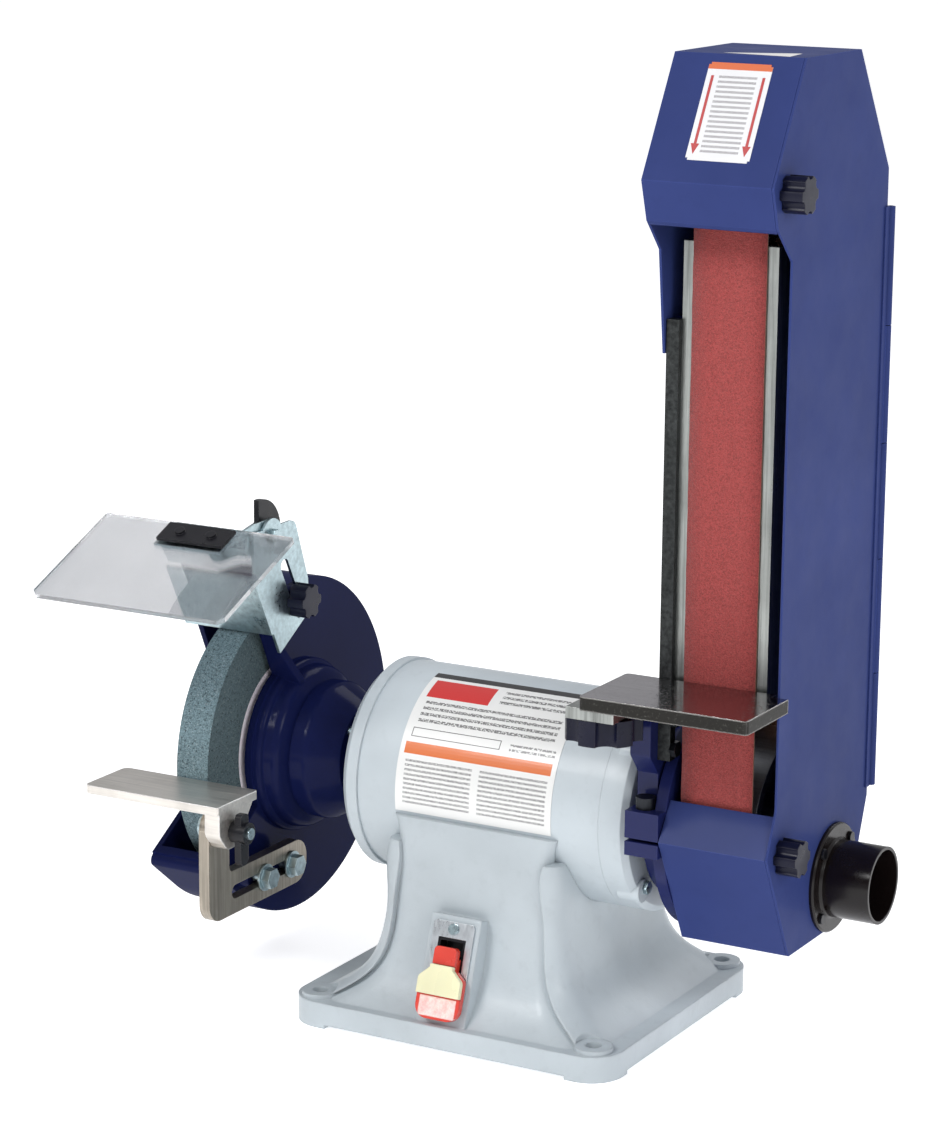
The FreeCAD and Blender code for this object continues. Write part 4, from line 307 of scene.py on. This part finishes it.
def plastic(name, color, rough=0.3, edge=0.0008, texture=0.00003, scale=500, dust=0.25, **constants):
    """Moulded plastic with a fine texture, a painted highlight on its edges and a little grey dust."""
    look = Look(name, **constants)
    rim = look.rounded(edge)
    dusty = look.spread(look.noise(34, 5, 0.65), 0.5, 0.8, 0, dust)
    tone = look.mix(look.spread(look.noise(12, 3), 0.3, 0.7), shade(color, 0.88), shade(color, 1.14))
    tone = look.mix(dusty, tone, faded(color, 0.75, 0.05))
    # painted highlight: the edges are lightened
    tone = look.mix(look.math("MULTIPLY", rim, 0.22), tone, faded(color, 0.6, 0.12))
    look.bump(look.noise(scale, 3, 0.6), texture)
    gloss = look.spread(look.noise(60, 4, 0.6), 0.3, 0.75, rough - 0.06, rough + 0.12)
    return look.done(tone, gloss)


def grinding_stone():
    """Vitrified grit: grey-green grains, pale bond and dark pores; painted shade makes the flat sides darker
    than the rim.
    """
    look = Look("grinding_stone", Specular_IOR_Level=0.25)
    look.rounded(0.0012)
    grain, speck = look.channels(look.cells(STONE_GRAINS)), look.channels(look.cells(900))
    body = linear(112, 134, 141)
    tone = look.mix(grain[0], shade(body, 0.6), shade(body, 1.3))
    tone = look.mix(look.spread(speck[0], 0.84, 0.98, 0, 0.4), tone, linear(168, 184, 188))
    tone = look.mix(look.spread(speck[1], 0.84, 0.98, 0, 0.7), tone, linear(40, 50, 56))
    tone = look.mix(look.spread(look.noise(15, 4), 0.4, 0.75, 0, 0.4), tone, linear(80, 96, 106))
    # painted shade: the flat sides, which face along X, are darkened
    painted_side_shade = look.spread(look.math("ABSOLUTE", look.axis("X", "Normal")), 0.8, 0.95, 0, 0.5)
    tone = look.mix(painted_side_shade, tone, linear(52, 58, 56))
    look.bump(look.cells(STONE_GRAINS, "Distance"), 0.00025)
    look.bump(look.noise(300, 4, 0.7), 0.0003)
    return look.done(tone, look.spread(grain[1], 0, 1, 0.72, 0.98))


def blotter_paper():
    """The pale paper washers that lie on the wheel's sides."""
    look = Look("blotter_paper", Specular_IOR_Level=0.2)
    fibre = look.noise(520, 6, 0.7)
    tone = look.mix(look.spread(fibre, 0.3, 0.7), linear(240, 226, 236), linear(252, 247, 252))
    look.bump(fibre, 0.00008)
    return look.done(tone, look.spread(fibre, 0, 1, 0.75, 0.95))


def belt_grit():
    """Red-brown grit on cloth. v runs along the belt in metres and u across it."""
    look = Look("belt_grit", Specular_IOR_Level=0.35, Sheen_Weight=0.15)
    grain = look.channels(look.cells(BELT_GRAINS))
    body = linear(152, 62, 60)
    tone = look.mix(grain[0], shade(body, 0.66), shade(body, 1.28))
    tone = look.mix(look.spread(look.noise(900, 4, 0.75), 0.5, 0.75, 0, 0.55), tone, linear(178, 92, 84))
    tone = look.mix(look.spread(look.noise(620, 3, 0.7), 0.55, 0.72, 0, 0.55), tone, linear(110, 34, 36))
    streaks = look.noise(55, 4, 0.6, stretch=(1, 0.05, 0.05))
    tone = look.mix(look.spread(streaks, 0.42, 0.75, 0, 0.3), tone, linear(140, 52, 50))
    along = look.axis("Y", "UV")
    splice = look.math("SUBTRACT", along, look.math("MULTIPLY", look.axis("X", "UV"), SPLICE_SKEW))
    seam = look.math("MULTIPLY", look.band(splice, *SPLICE_SPAN), 0.8)
    tone = look.mix(seam, tone, linear(92, 32, 34))
    look.bump(look.cells(BELT_GRAINS, "Distance"), 0.0003)
    look.bump(look.noise(900, 3, 0.7), 0.0002)
    return look.done(tone, look.spread(grain[1], 0, 1, 0.6, 0.92))


def belt_cloth():
    """The belt's woven backing."""
    look = Look("belt_cloth", Sheen_Weight=0.3)
    weave_x = look.add("ShaderNodeTexWave", wave_type="BANDS", bands_direction="X")
    weave_y = look.add("ShaderNodeTexWave", wave_type="BANDS", bands_direction="Y")
    for wave, stretch in ((weave_x, (1, 1, 1)), (weave_y, (1, LENGTH_PER_WIDTH, 1))):
        look.put(wave.inputs["Vector"], look.coordinates(stretch, source="UV"))
        wave.inputs["Scale"].default_value = 16
        wave.inputs["Distortion"].default_value = 1.2
    weave = look.math("MAXIMUM", weave_x.outputs["Fac"], weave_y.outputs["Fac"])
    tone = look.mix(weave, linear(104, 66, 46), linear(160, 112, 82))
    look.bump(weave, 0.0001)
    return look.done(tone, look.spread(weave, 0, 1, 0.8, 0.95))


def clear_sheet():
    """Clear polycarbonate: whitish edges, faint smoke and fine scratches."""
    look = Look("clear_sheet", IOR=1.5, Transmission_Weight=1.0)
    across = look.add("ShaderNodeVectorMath", operation="DOT_PRODUCT")
    look.put(across.inputs[0], look.where.outputs["Normal"])
    across.inputs[1].default_value = (0, -math.sin(PANE_SLOPE), math.cos(PANE_SLOPE))
    side = look.spread(look.math("ABSOLUTE", across.outputs["Value"]), 0.85, 0.5)
    scratch = look.noise(60, 4, 0.7, stretch=(1, 14, 1), turn=(0, 0, 0.5))
    haze = look.spread(look.noise(11, 4), 0.35, 0.75)
    tone = look.mix(haze, linear(176, 178, 182), linear(156, 158, 163))
    tone = look.mix(side, tone, linear(196, 200, 204))
    look.bump(scratch, 0.00001)
    look.put(look.shader.inputs["Alpha"], look.spread(side, 0, 1, 0.7, 0.95))
    return look.done(tone, look.spread(scratch, 0.55, 0.8, 0.03, 0.16))


def two_tone_switch():
    """The paddle: red, with a milky lamp window in its lower half."""
    look = Look("switch_red", Coat_Weight=0.4, Subsurface_Weight=0.15, Subsurface_Scale=0.004)
    look.rounded(0.0009)
    height = look.axis("Z")
    across = look.math("ABSOLUTE", look.math("SUBTRACT", look.axis("X"), SWITCH_X))
    below = look.math("MULTIPLY", look.spread(height, 0.0380, 0.0375), look.spread(height, 0.0248, 0.0254))
    window = look.math("MULTIPLY", below, look.spread(across, 0.0141, 0.0135))
    red = look.mix(look.noise(70, 4), linear(206, 50, 38), linear(228, 78, 62))
    cloudy = look.spread(look.noise(170, 5, 0.7), 0.35, 0.65)
    milky = look.mix(cloudy, linear(240, 178, 172), linear(250, 232, 226))
    tone = look.mix(window, red, milky)
    look.bump(look.noise(500, 2), 0.00003)
    look.bump(window, 0.0003)
    return look.done(tone, look.spread(look.noise(90, 3), 0.3, 0.7, 0.18, 0.34))


def printed(name, paper_color, bands, lines):
    """A printed label on UV. bands are coloured boxes (u0, u1, v0, v1, color). lines are fields of plain
    rules that hold no text (u0, u1, v0, v1, how many rows, color)."""
    look = Look(name, Coat_Weight=0.4, Coat_Roughness=0.15)
    across, up = look.axis("X", "UV"), look.axis("Y", "UV")
    tone = look.mix(look.spread(look.noise(40, 4), 0.4, 0.8, 0, 0.4), paper_color, shade(paper_color, 0.9))

    def inside(u0, u1, v0, v1):
        return look.math("MULTIPLY", look.band(across, u0, u1), look.band(up, v0, v1))

    for u0, u1, v0, v1, color in bands:
        tone = look.mix(inside(u0, u1, v0, v1), tone, color)
    for u0, u1, v0, v1, rows, color in lines:
        risen = look.math("MULTIPLY", look.math("SUBTRACT", up, v0), rows / (v1 - v0))
        row = look.math("FRACT", risen)
        dashes = look.noise(90, 1, 0.5, stretch=(1, rows * 0.4, 1), source="UV")
        ink = look.math("MULTIPLY", look.band(row, 0.24, 0.72), look.math("GREATER_THAN", dashes, 0.45))
        covered = look.math("MULTIPLY", ink, inside(u0, u1, v0, v1))
        tone = look.mix(look.math("MULTIPLY", covered, 0.8), tone, color)
    look.bump(look.noise(300, 2), 0.00002)
    return look.done(tone, look.spread(look.noise(50, 3), 0.3, 0.7, 0.3, 0.42))


def plain_floor():
    """White paper that glows a little, so that it stays white under soft light."""
    look = Look("plain_floor", Emission_Color=(1, 1, 1, 1), Emission_Strength=FLOOR_GLOW)
    tone = look.mix(look.noise(2, 3), linear(250, 250, 250), linear(246, 246, 247))
    return look.done(tone, look.spread(look.noise(3, 3), 0, 1, 0.7, 0.85))


BLUE, NAVY, GREY = linear(51, 63, 116), linear(18, 24, 62), linear(194, 203, 208)
looks = {
    "hood": paint("hood_paint", BLUE, 0.5, edge=0.0011, wear_and_highlight_amount=0.3, coat=0.05, shine=0.04, edge_highlight=2.0,
                  patch=[(0.158, -0.050), (0.206, -0.056), (0.203, -0.030)]),
    "guard": paint("guard_paint", shade(NAVY, 1.15), 0.42, edge=0.002, cast=0.0004, wear_and_highlight_amount=0.15, coat=0.14,
                   shine=0.0),
    "arm": paint("arm_paint", linear(30, 36, 84), 0.34, edge=0.0016, cast=0.00045, wear_and_highlight_amount=0.25, coat=0.45,
                 shine=0.0),
    "motor": paint("motor_paint", GREY, 0.36, edge=0.0012, cast=0.00012, wear_and_highlight_amount=0.1, coat=0.15, shine=0.3,
                   edge_highlight=1.1),
    "casting": paint("casting_paint", shade(GREY, 0.9), 0.38, edge=0.0022, cast=0.0006, wear_and_highlight_amount=0.1, coat=0.12,
                     shine=0.3, edge_highlight=1.15),
    "zinc": metal("zinc_plate", linear(168, 186, 191), 0.28, grain_scale=260, stain=0.4, contrast=0.25),
    "plate": metal("bright_plate", linear(206, 211, 215), 0.3, grain=ALONG_Z, grain_scale=500, stain=0.1,
                   contrast=0.08),
    "bracket": metal("brushed_bracket", linear(164, 156, 144), 0.34, grain=ALONG_Z, grain_scale=420,
                     depth=0.00004, edge=0.0008, stain=0.5, contrast=0.3),
    "steel": metal("machined_shaft", linear(150, 152, 156), 0.28, grain=ALONG_X, grain_scale=700),
    "rest": metal("milled_steel", linear(224, 219, 212), 0.4, grain=ALONG_X, grain_scale=520, depth=0.00004,
                  edge=0.0014, contrast=0.12),
    "table": table_steel(),
    "platen": metal("platen_steel", linear(150, 153, 150), 0.3, grain=ALONG_Z, grain_scale=420, depth=0.00005,
                    stain=0.5, contrast=0.4, cast=0.0002),
    "bar": metal("cast_bar", linear(60, 62, 62), 0.45, grain_scale=300, stain=0.6, contrast=0.5, cast=0.0006),
    "bolt": metal("dark_bolt", linear(52, 54, 58), 0.36, grain_scale=400, stain=0.6),
    "oxide": plastic("black_oxide", linear(15, 16, 22), 0.3, dust=0.04, Specular_IOR_Level=0.3),
    "alloy": metal("wheel_alloy", linear(172, 174, 178), 0.34, grain=ALONG_X, grain_scale=500, stain=0.4),
    "core": metal("laminated_core", linear(96, 92, 90), 0.45, grain=STACKED_X, grain_scale=900, metallic=0.7),
    "black": plastic("black_plastic", linear(18, 18, 24), 0.3, dust=0.15, Specular_IOR_Level=0.28),
    "knob": plastic("navy_knob", linear(14, 16, 38), 0.3, dust=0.06, Specular_IOR_Level=0.22),
    "port": plastic("port_plastic", linear(21, 15, 15), 0.2, texture=0.00002, dust=0.08,
                    Specular_IOR_Level=0.3),
    "key": plastic("key_plastic", linear(240, 232, 192), 0.26, dust=0.1, Subsurface_Weight=0.1),
    "red": two_tone_switch(),
    "stone": grinding_stone(),
    "paper": blotter_paper(),
    "clear": clear_sheet(),
}
NODE_LOOKS = {
    "hood": ("hood_upper", "back_panel", "lower_guard", "side_door", "hood_hinge_leaf_and_pin",
             "door_hinge_leaf"),
    "guard": ("guard_casting", "guard_cover"),
    "arm": ("arm_casting", "tension_guide"),
    "motor": ("motor_shell", "left_end_bell", "right_end_bell"),
    "casting": ("pedestal",),
    "zinc": ("guard_fasteners", "motor_tie_bolts", "pedestal_screws", "spark_arrestor", "shield_pivot_bolt",
             "rest_bolt", "shield_bracket", "spindle_nuts", "bottom_cover"),
    "plate": ("switch_plate",),
    "steel": ("spindle_shaft", "bearing_outer_rings", "bearing_inner_rings_and_balls", "idler_yoke_and_axle",
              "wheel_flanges"),
    "bracket": ("rest_bracket",),
    "oxide": ("rest_wing_nut", "door_fasteners"),
    "rest": ("tool_rest",),
    "table": ("work_table_and_stud",),
    "platen": ("platen", "table_bracket"),
    "bar": ("arm_bar",),
    "bolt": ("arm_fasteners",),
    "alloy": ("drive_wheel", "idler_wheel"),
    "core": ("rotor_core", "stator_core_and_windings"),
    "knob": ("arrestor_knob", "upper_door_knob", "lower_door_knob", "table_knob"),
    "black": ("shield_wing_nut", "shield_clamp_plate", "tracking_knob", "cable_gland", "switch_body",
              "start_capacitor_and_clip"),
    "port": ("dust_port",),
    "key": ("safety_key",),
    "red": ("switch_paddle",),
    "stone": ("grinding_wheel",),
    "paper": ("wheel_blotters",),
    "clear": ("shield_pane",),
}

for look_name, members in NODE_LOOKS.items():
    for member in members:
        for material_slot in nodes[member].material_slots:
            material_slot.material = looks[look_name]

# ---------------------------------------------------------------- mesh helpers


def new_mesh(name, points, faces, material, body, uvs=None, smooth=False):
    """A piece from points and faces. uvs, where given, is one (u, v) per point. body is None for a piece
    that blends."""
    mesh = bpy.data.meshes.new(name)
    mesh.from_pydata([tuple(point) for point in points], [], faces)
    if uvs is not None:
        layer = mesh.uv_layers.new(name="UVMap")
        for loop in mesh.loops:
            layer.data[loop.index].uv = uvs[loop.vertex_index]
    mesh.materials.append(material)
    for polygon in mesh.polygons:
        polygon.use_smooth = smooth
    mesh.update()
    piece = bpy.data.objects.new(name, mesh)
    scene.collection.objects.link(piece)
    if body:
        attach(piece, body)
    return piece


def grid_faces(rows, columns, closed=False):
    """Quads over rows x columns points. closed joins the last row to the first."""
    faces = []
    for row in range(rows if closed else rows - 1):
        following = (row + 1) % rows
        for column in range(columns - 1):
            faces.append((row * columns + column, row * columns + column + 1,
                          following * columns + column + 1, following * columns + column))
    return faces


def sheet(name, at, rows, columns, thick, material, body, keep=lambda u, v: True):
    """A thin closed sheet. at(u, v, depth) is a point below its outer surface, with u and v from 0 to 1, and
    keep(u, v) says which cells it has."""
    points, uvs = [], []
    for layer_depth in (0, thick):
        for row in range(rows):
            for column in range(columns):
                u, v = column / (columns - 1), row / (rows - 1)
                points.append(at(u, v, layer_depth))
                uvs.append((u, v))
    count = rows * columns
    front = [face for face in grid_faces(rows, columns)
             if keep(*(sum(uvs[i][k] for i in face) / 4 for k in (0, 1)))]
    edges = {}
    for face in front:
        for a, b in zip(face, face[1:] + face[:1]):
            edges[(a, b)] = True
    back = [tuple(i + count for i in reversed(face)) for face in front]
    rim = [(b, a, a + count, b + count) for (a, b) in edges if (b, a) not in edges]
    return new_mesh(name, points, front + back + rim, material, body, uvs)


# ---------------------------------------------------------------- labels


def label_corner(radius_u, radius_v):
    """Leave out the cells beyond a label's rounded corners."""
    def keep(u, v):
        du = max(0, radius_u - min(u, 1 - u)) / radius_u
        dv = max(0, radius_v - min(v, 1 - v)) / radius_v
        return du * du + dv * dv <= 1
    return keep


def make_rating_label():
    """The label around the motor's front and top: colour blocks, an empty box, rules in place of text."""
    left, right = -0.062, 0.057
    low, high = math.radians(-9), math.radians(79)
    white, black = linear(232, 232, 230), linear(24, 22, 24)
    red, orange, ink = linear(204, 42, 40), linear(214, 106, 34), linear(70, 68, 70)
    look = printed("rating_print", white,
                   [(0, 1, 0.945, 1, black), (0.04, 0.44, 0.755, 0.915, red),
                    (0.03, 0.97, 0.362, 0.435, orange), (0.05, 0.62, 0.47, 0.475, ink),
                    (0.05, 0.055, 0.47, 0.53, ink), (0.615, 0.62, 0.47, 0.53, ink),
                    (0.05, 0.62, 0.525, 0.53, ink)],
                   [(0.50, 0.97, 0.775, 0.915, 3, black), (0.06, 0.94, 0.56, 0.735, 4, black),
                    (0.68, 0.97, 0.465, 0.525, 2, ink), (0.05, 0.48, 0.05, 0.335, 10, ink),
                    (0.53, 0.96, 0.05, 0.335, 10, ink)])

    def at(u, v, depth):
        radius = SHELL_R + LABEL_OUT - depth
        angle = low + (high - low) * v
        return (left + (right - left) * u, -radius * math.cos(angle), AXIS_Z + radius * math.sin(angle))

    sheet("rating_label", at, 49, 41, LABEL_THICK, look, "stand", label_corner(0.03, 0.03))


def on_slope(across, down, out):
    """A point on the hood's front slope: across in X, down from its upper edge, out from its surface."""
    lower, upper = Vector((0, *HOOD_SLOPE[0])), Vector((0, *HOOD_SLOPE[1]))
    way = (lower - upper).normalized()
    outward = Vector((0, -abs(way.z), abs(way.y)))
    return Vector((across, 0, 0)) + upper + way * down + outward * out


def make_hood_label():
    """The label on the hood's front slope, with an arrow down each side."""
    left, right, top, bottom = 0.1555, 0.1985, 0.006, 0.072
    white, orange = linear(224, 224, 226), linear(206, 92, 26)
    red, ink = linear(176, 26, 28), linear(92, 84, 88)
    look = printed("hood_print", white, [(0, 1, 0.93, 1, orange)], [(0.2, 0.8, 0.07, 0.88, 16, ink)])

    def at(u, v, depth):
        return on_slope(left + (right - left) * u, bottom + (top - bottom) * v, HOOD_LABEL_OUT - depth)

    sheet("hood_label", at, 45, 31, LABEL_THICK, look, "belt_arm", label_corner(0.09, 0.06))
    arrow_paint = printed("arrow_print", red, [], [])
    shaft, barb, inset = 0.0009, 0.0028, 0.0042
    tail, neck, tip = top + 0.009, bottom - 0.011, bottom - 0.004
    outline = [(-shaft, tail), (shaft, tail), (shaft, neck), (barb, neck), (0, tip), (-barb, neck),
               (-shaft, neck)]
    for side, middle in (("left", left + inset), ("right", right - inset)):
        flat_shape("hood_arrow_" + side, [(middle + across, down) for across, down in outline], on_slope,
                   ARROW_OUT, ARROW_THICK, arrow_paint, "belt_arm")


def flat_shape(name, outline, at, out, thick, material, body):
    """A thin prism over a flat outline. at(a, b, out) gives a point."""
    count = len(outline)
    points = [at(a, b, out) for a, b in outline] + [at(a, b, out - thick) for a, b in outline]
    faces = [tuple(range(count)), tuple(reversed(range(count, 2 * count)))]
    faces += [((i + 1) % count, i, i + count, (i + 1) % count + count) for i in range(count)]
    return new_mesh(name, points, faces, material, body)


# ---------------------------------------------------------------- belt


def belt_path(offset):
    """The belt's loop, offset outward from its wheels, as points in Y and Z."""
    drive, idler = Vector((0, AXIS_Z)), Vector((IDLER_Y, AXIS_Z + IDLER_UP))
    span = idler - drive
    lean = math.atan2(span.y, span.x)
    open_angle = math.acos((DRIVE_R - IDLER_R) / span.length)
    path = []

    def arc(middle, radius, start, end, steps):
        for step in range(steps + 1):
            angle = start + (end - start) * step / steps
            path.append(middle + Vector((math.cos(angle), math.sin(angle))) * (radius + offset))

    def run(middle, radius, angle):
        first = path[-1]
        last = middle + Vector((math.cos(angle), math.sin(angle))) * (radius + offset)
        for step in range(1, RUN_STEPS):
            path.append(first.lerp(last, step / RUN_STEPS))

    arc(idler, IDLER_R, lean - open_angle, lean + open_angle, IDLER_STEPS)
    run(drive, DRIVE_R, lean + open_angle)
    arc(drive, DRIVE_R, lean + open_angle, lean + 2 * math.pi - open_angle, DRIVE_STEPS)
    run(idler, IDLER_R, lean + 2 * math.pi - open_angle)
    return path


def make_belt():
    """The abrasive loop: grit outside, woven cloth inside, edges a little frayed. It follows the idler up
    and down."""
    low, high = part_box("abrasive_belt")
    dice = random.Random(7)
    outer, inner = belt_path(BELT_THICK), belt_path(BELT_GAP)
    count = len(outer)
    lengths, total = [], 0
    for index in range(count):
        lengths.append(total)
        total += (outer[(index + 1) % count] - outer[index]).length
    shares = [0, 0.25, 0.5, 0.75, 1]
    points, uvs = [], []
    for path in (outer, inner):
        for index, spot in enumerate(path):
            fray = (dice.uniform(0, FRAY), dice.uniform(0, FRAY))
            for share in shares:
                x = low[0] + fray[0] + (high[0] - low[0] - fray[0] - fray[1]) * share
                points.append((x, spot.x, spot.y))
                uvs.append((share, lengths[index]))
    columns = len(shares)
    skin = grid_faces(count, columns, closed=True)
    backing = [tuple(i + count * columns for i in reversed(face)) for face in skin]
    rims = []
    for index in range(count):
        following = (index + 1) % count
        for column, flip in ((0, False), (columns - 1, True)):
            a, b = index * columns + column, following * columns + column
            face = (a, b, b + count * columns, a + count * columns)
            rims.append(face if not flip else tuple(reversed(face)))
    belt = new_mesh("belt_loop", points, skin + backing + rims, belt_grit(), None, uvs)
    belt.data.materials.append(belt_cloth())
    for polygon in belt.data.polygons[len(skin):]:
        polygon.material_index = 1
    for polygon in belt.data.polygons[:len(skin) + len(backing)]:
        polygon.use_smooth = True
    shaped = bmesh.new()
    shaped.from_mesh(belt.data)
    bmesh.ops.recalc_face_normals(shaped, faces=shaped.faces)
    shaped.to_mesh(belt.data)
    shaped.free()
    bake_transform(belt)
    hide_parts("abrasive_belt")


def make_spring():
    """The tension spring as a helix."""
    low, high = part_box("tension_spring")
    middle = Vector(((low[0] + high[0]) / 2, (low[1] + high[1]) / 2, low[2] + SPRING_WIRE))
    radius = (high[0] - low[0]) / 2 - SPRING_WIRE
    rise = high[2] - low[2] - 2 * SPRING_WIRE
    steps, sides = SPRING_TURNS * STEPS_PER_TURN, 10
    points = []
    for step in range(steps + 1):
        turn = 2 * math.pi * SPRING_TURNS * step / steps
        out = Vector((math.cos(turn), math.sin(turn), 0))
        centre = middle + out * radius + Vector((0, 0, rise * step / steps))
        for side in range(sides):
            angle = 2 * math.pi * side / sides
            around = out * math.cos(angle) + Vector((0, 0, math.sin(angle)))
            points.append(centre + around * SPRING_WIRE)
    faces = [(step * sides + side, step * sides + (side + 1) % sides,
              (step + 1) * sides + (side + 1) % sides, (step + 1) * sides + side)
             for step in range(steps) for side in range(sides)]
    faces += [tuple(reversed(range(sides))), tuple(steps * sides + side for side in range(sides))]
    spring = new_mesh("tension_coil", points, faces, looks["steel"], "belt_arm", smooth=True)
    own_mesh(spring)
    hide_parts("tension_spring")


# ---------------------------------------------------------------- stage, light and camera


def make_stage():
    """The floor and the sky's even light."""
    bpy.ops.mesh.primitive_circle_add(vertices=96, radius=FLOOR_RADIUS, fill_type="NGON", location=(0, 0, 0))
    floor = bpy.context.object
    floor.name = "floor"
    floor.data.materials.append(plain_floor())
    world = bpy.data.worlds.new("studio")
    scene.world = world
    world.use_nodes = True
    sky = world.node_tree.nodes["Background"]
    sky.inputs["Color"].default_value = SKY_COLOR
    sky.inputs["Strength"].default_value = SKY_STRENGTH


def area_light(name, at, aim, size, power):
    """A square lamp of size metres and power watts."""
    lamp = bpy.data.lights.new(name, "AREA")
    lamp.shape, lamp.size, lamp.energy = "SQUARE", size, power
    light = bpy.data.objects.new(name, lamp)
    scene.collection.objects.link(light)
    light.location = at
    light.rotation_euler = (Vector(aim) - Vector(at)).to_track_quat("-Z", "Y").to_euler()


def make_camera():
    """The photo's viewpoint, fitted to points of the photo."""
    position = Vector((1.0767, -2.0099, 0.8357))
    azimuth, elevation, roll = math.radians(29.2), math.radians(12.9), math.radians(0.5)
    back = Vector((math.sin(azimuth) * math.cos(elevation), -math.cos(azimuth) * math.cos(elevation),
                   math.sin(elevation)))
    right = Vector((math.cos(azimuth), math.sin(azimuth), 0))
    up = back.cross(right)
    tilted = right * math.cos(roll) + up * math.sin(roll)
    data = bpy.data.cameras.new("camera")
    data.lens, data.sensor_width, data.sensor_fit = 110.84, 36, "AUTO"
    camera = bpy.data.objects.new("camera", data)
    scene.collection.objects.link(camera)
    turned = Matrix((tilted, back.cross(tilted), back)).transposed().to_4x4()
    camera.matrix_world = Matrix.Translation(position) @ turned
    scene.camera = camera


make_camera()
make_stage()
scene.view_settings.view_transform = "Standard"
for light in LIGHTS:
    area_light(*light)

make_rating_label()
make_hood_label()
make_belt()
make_spring()
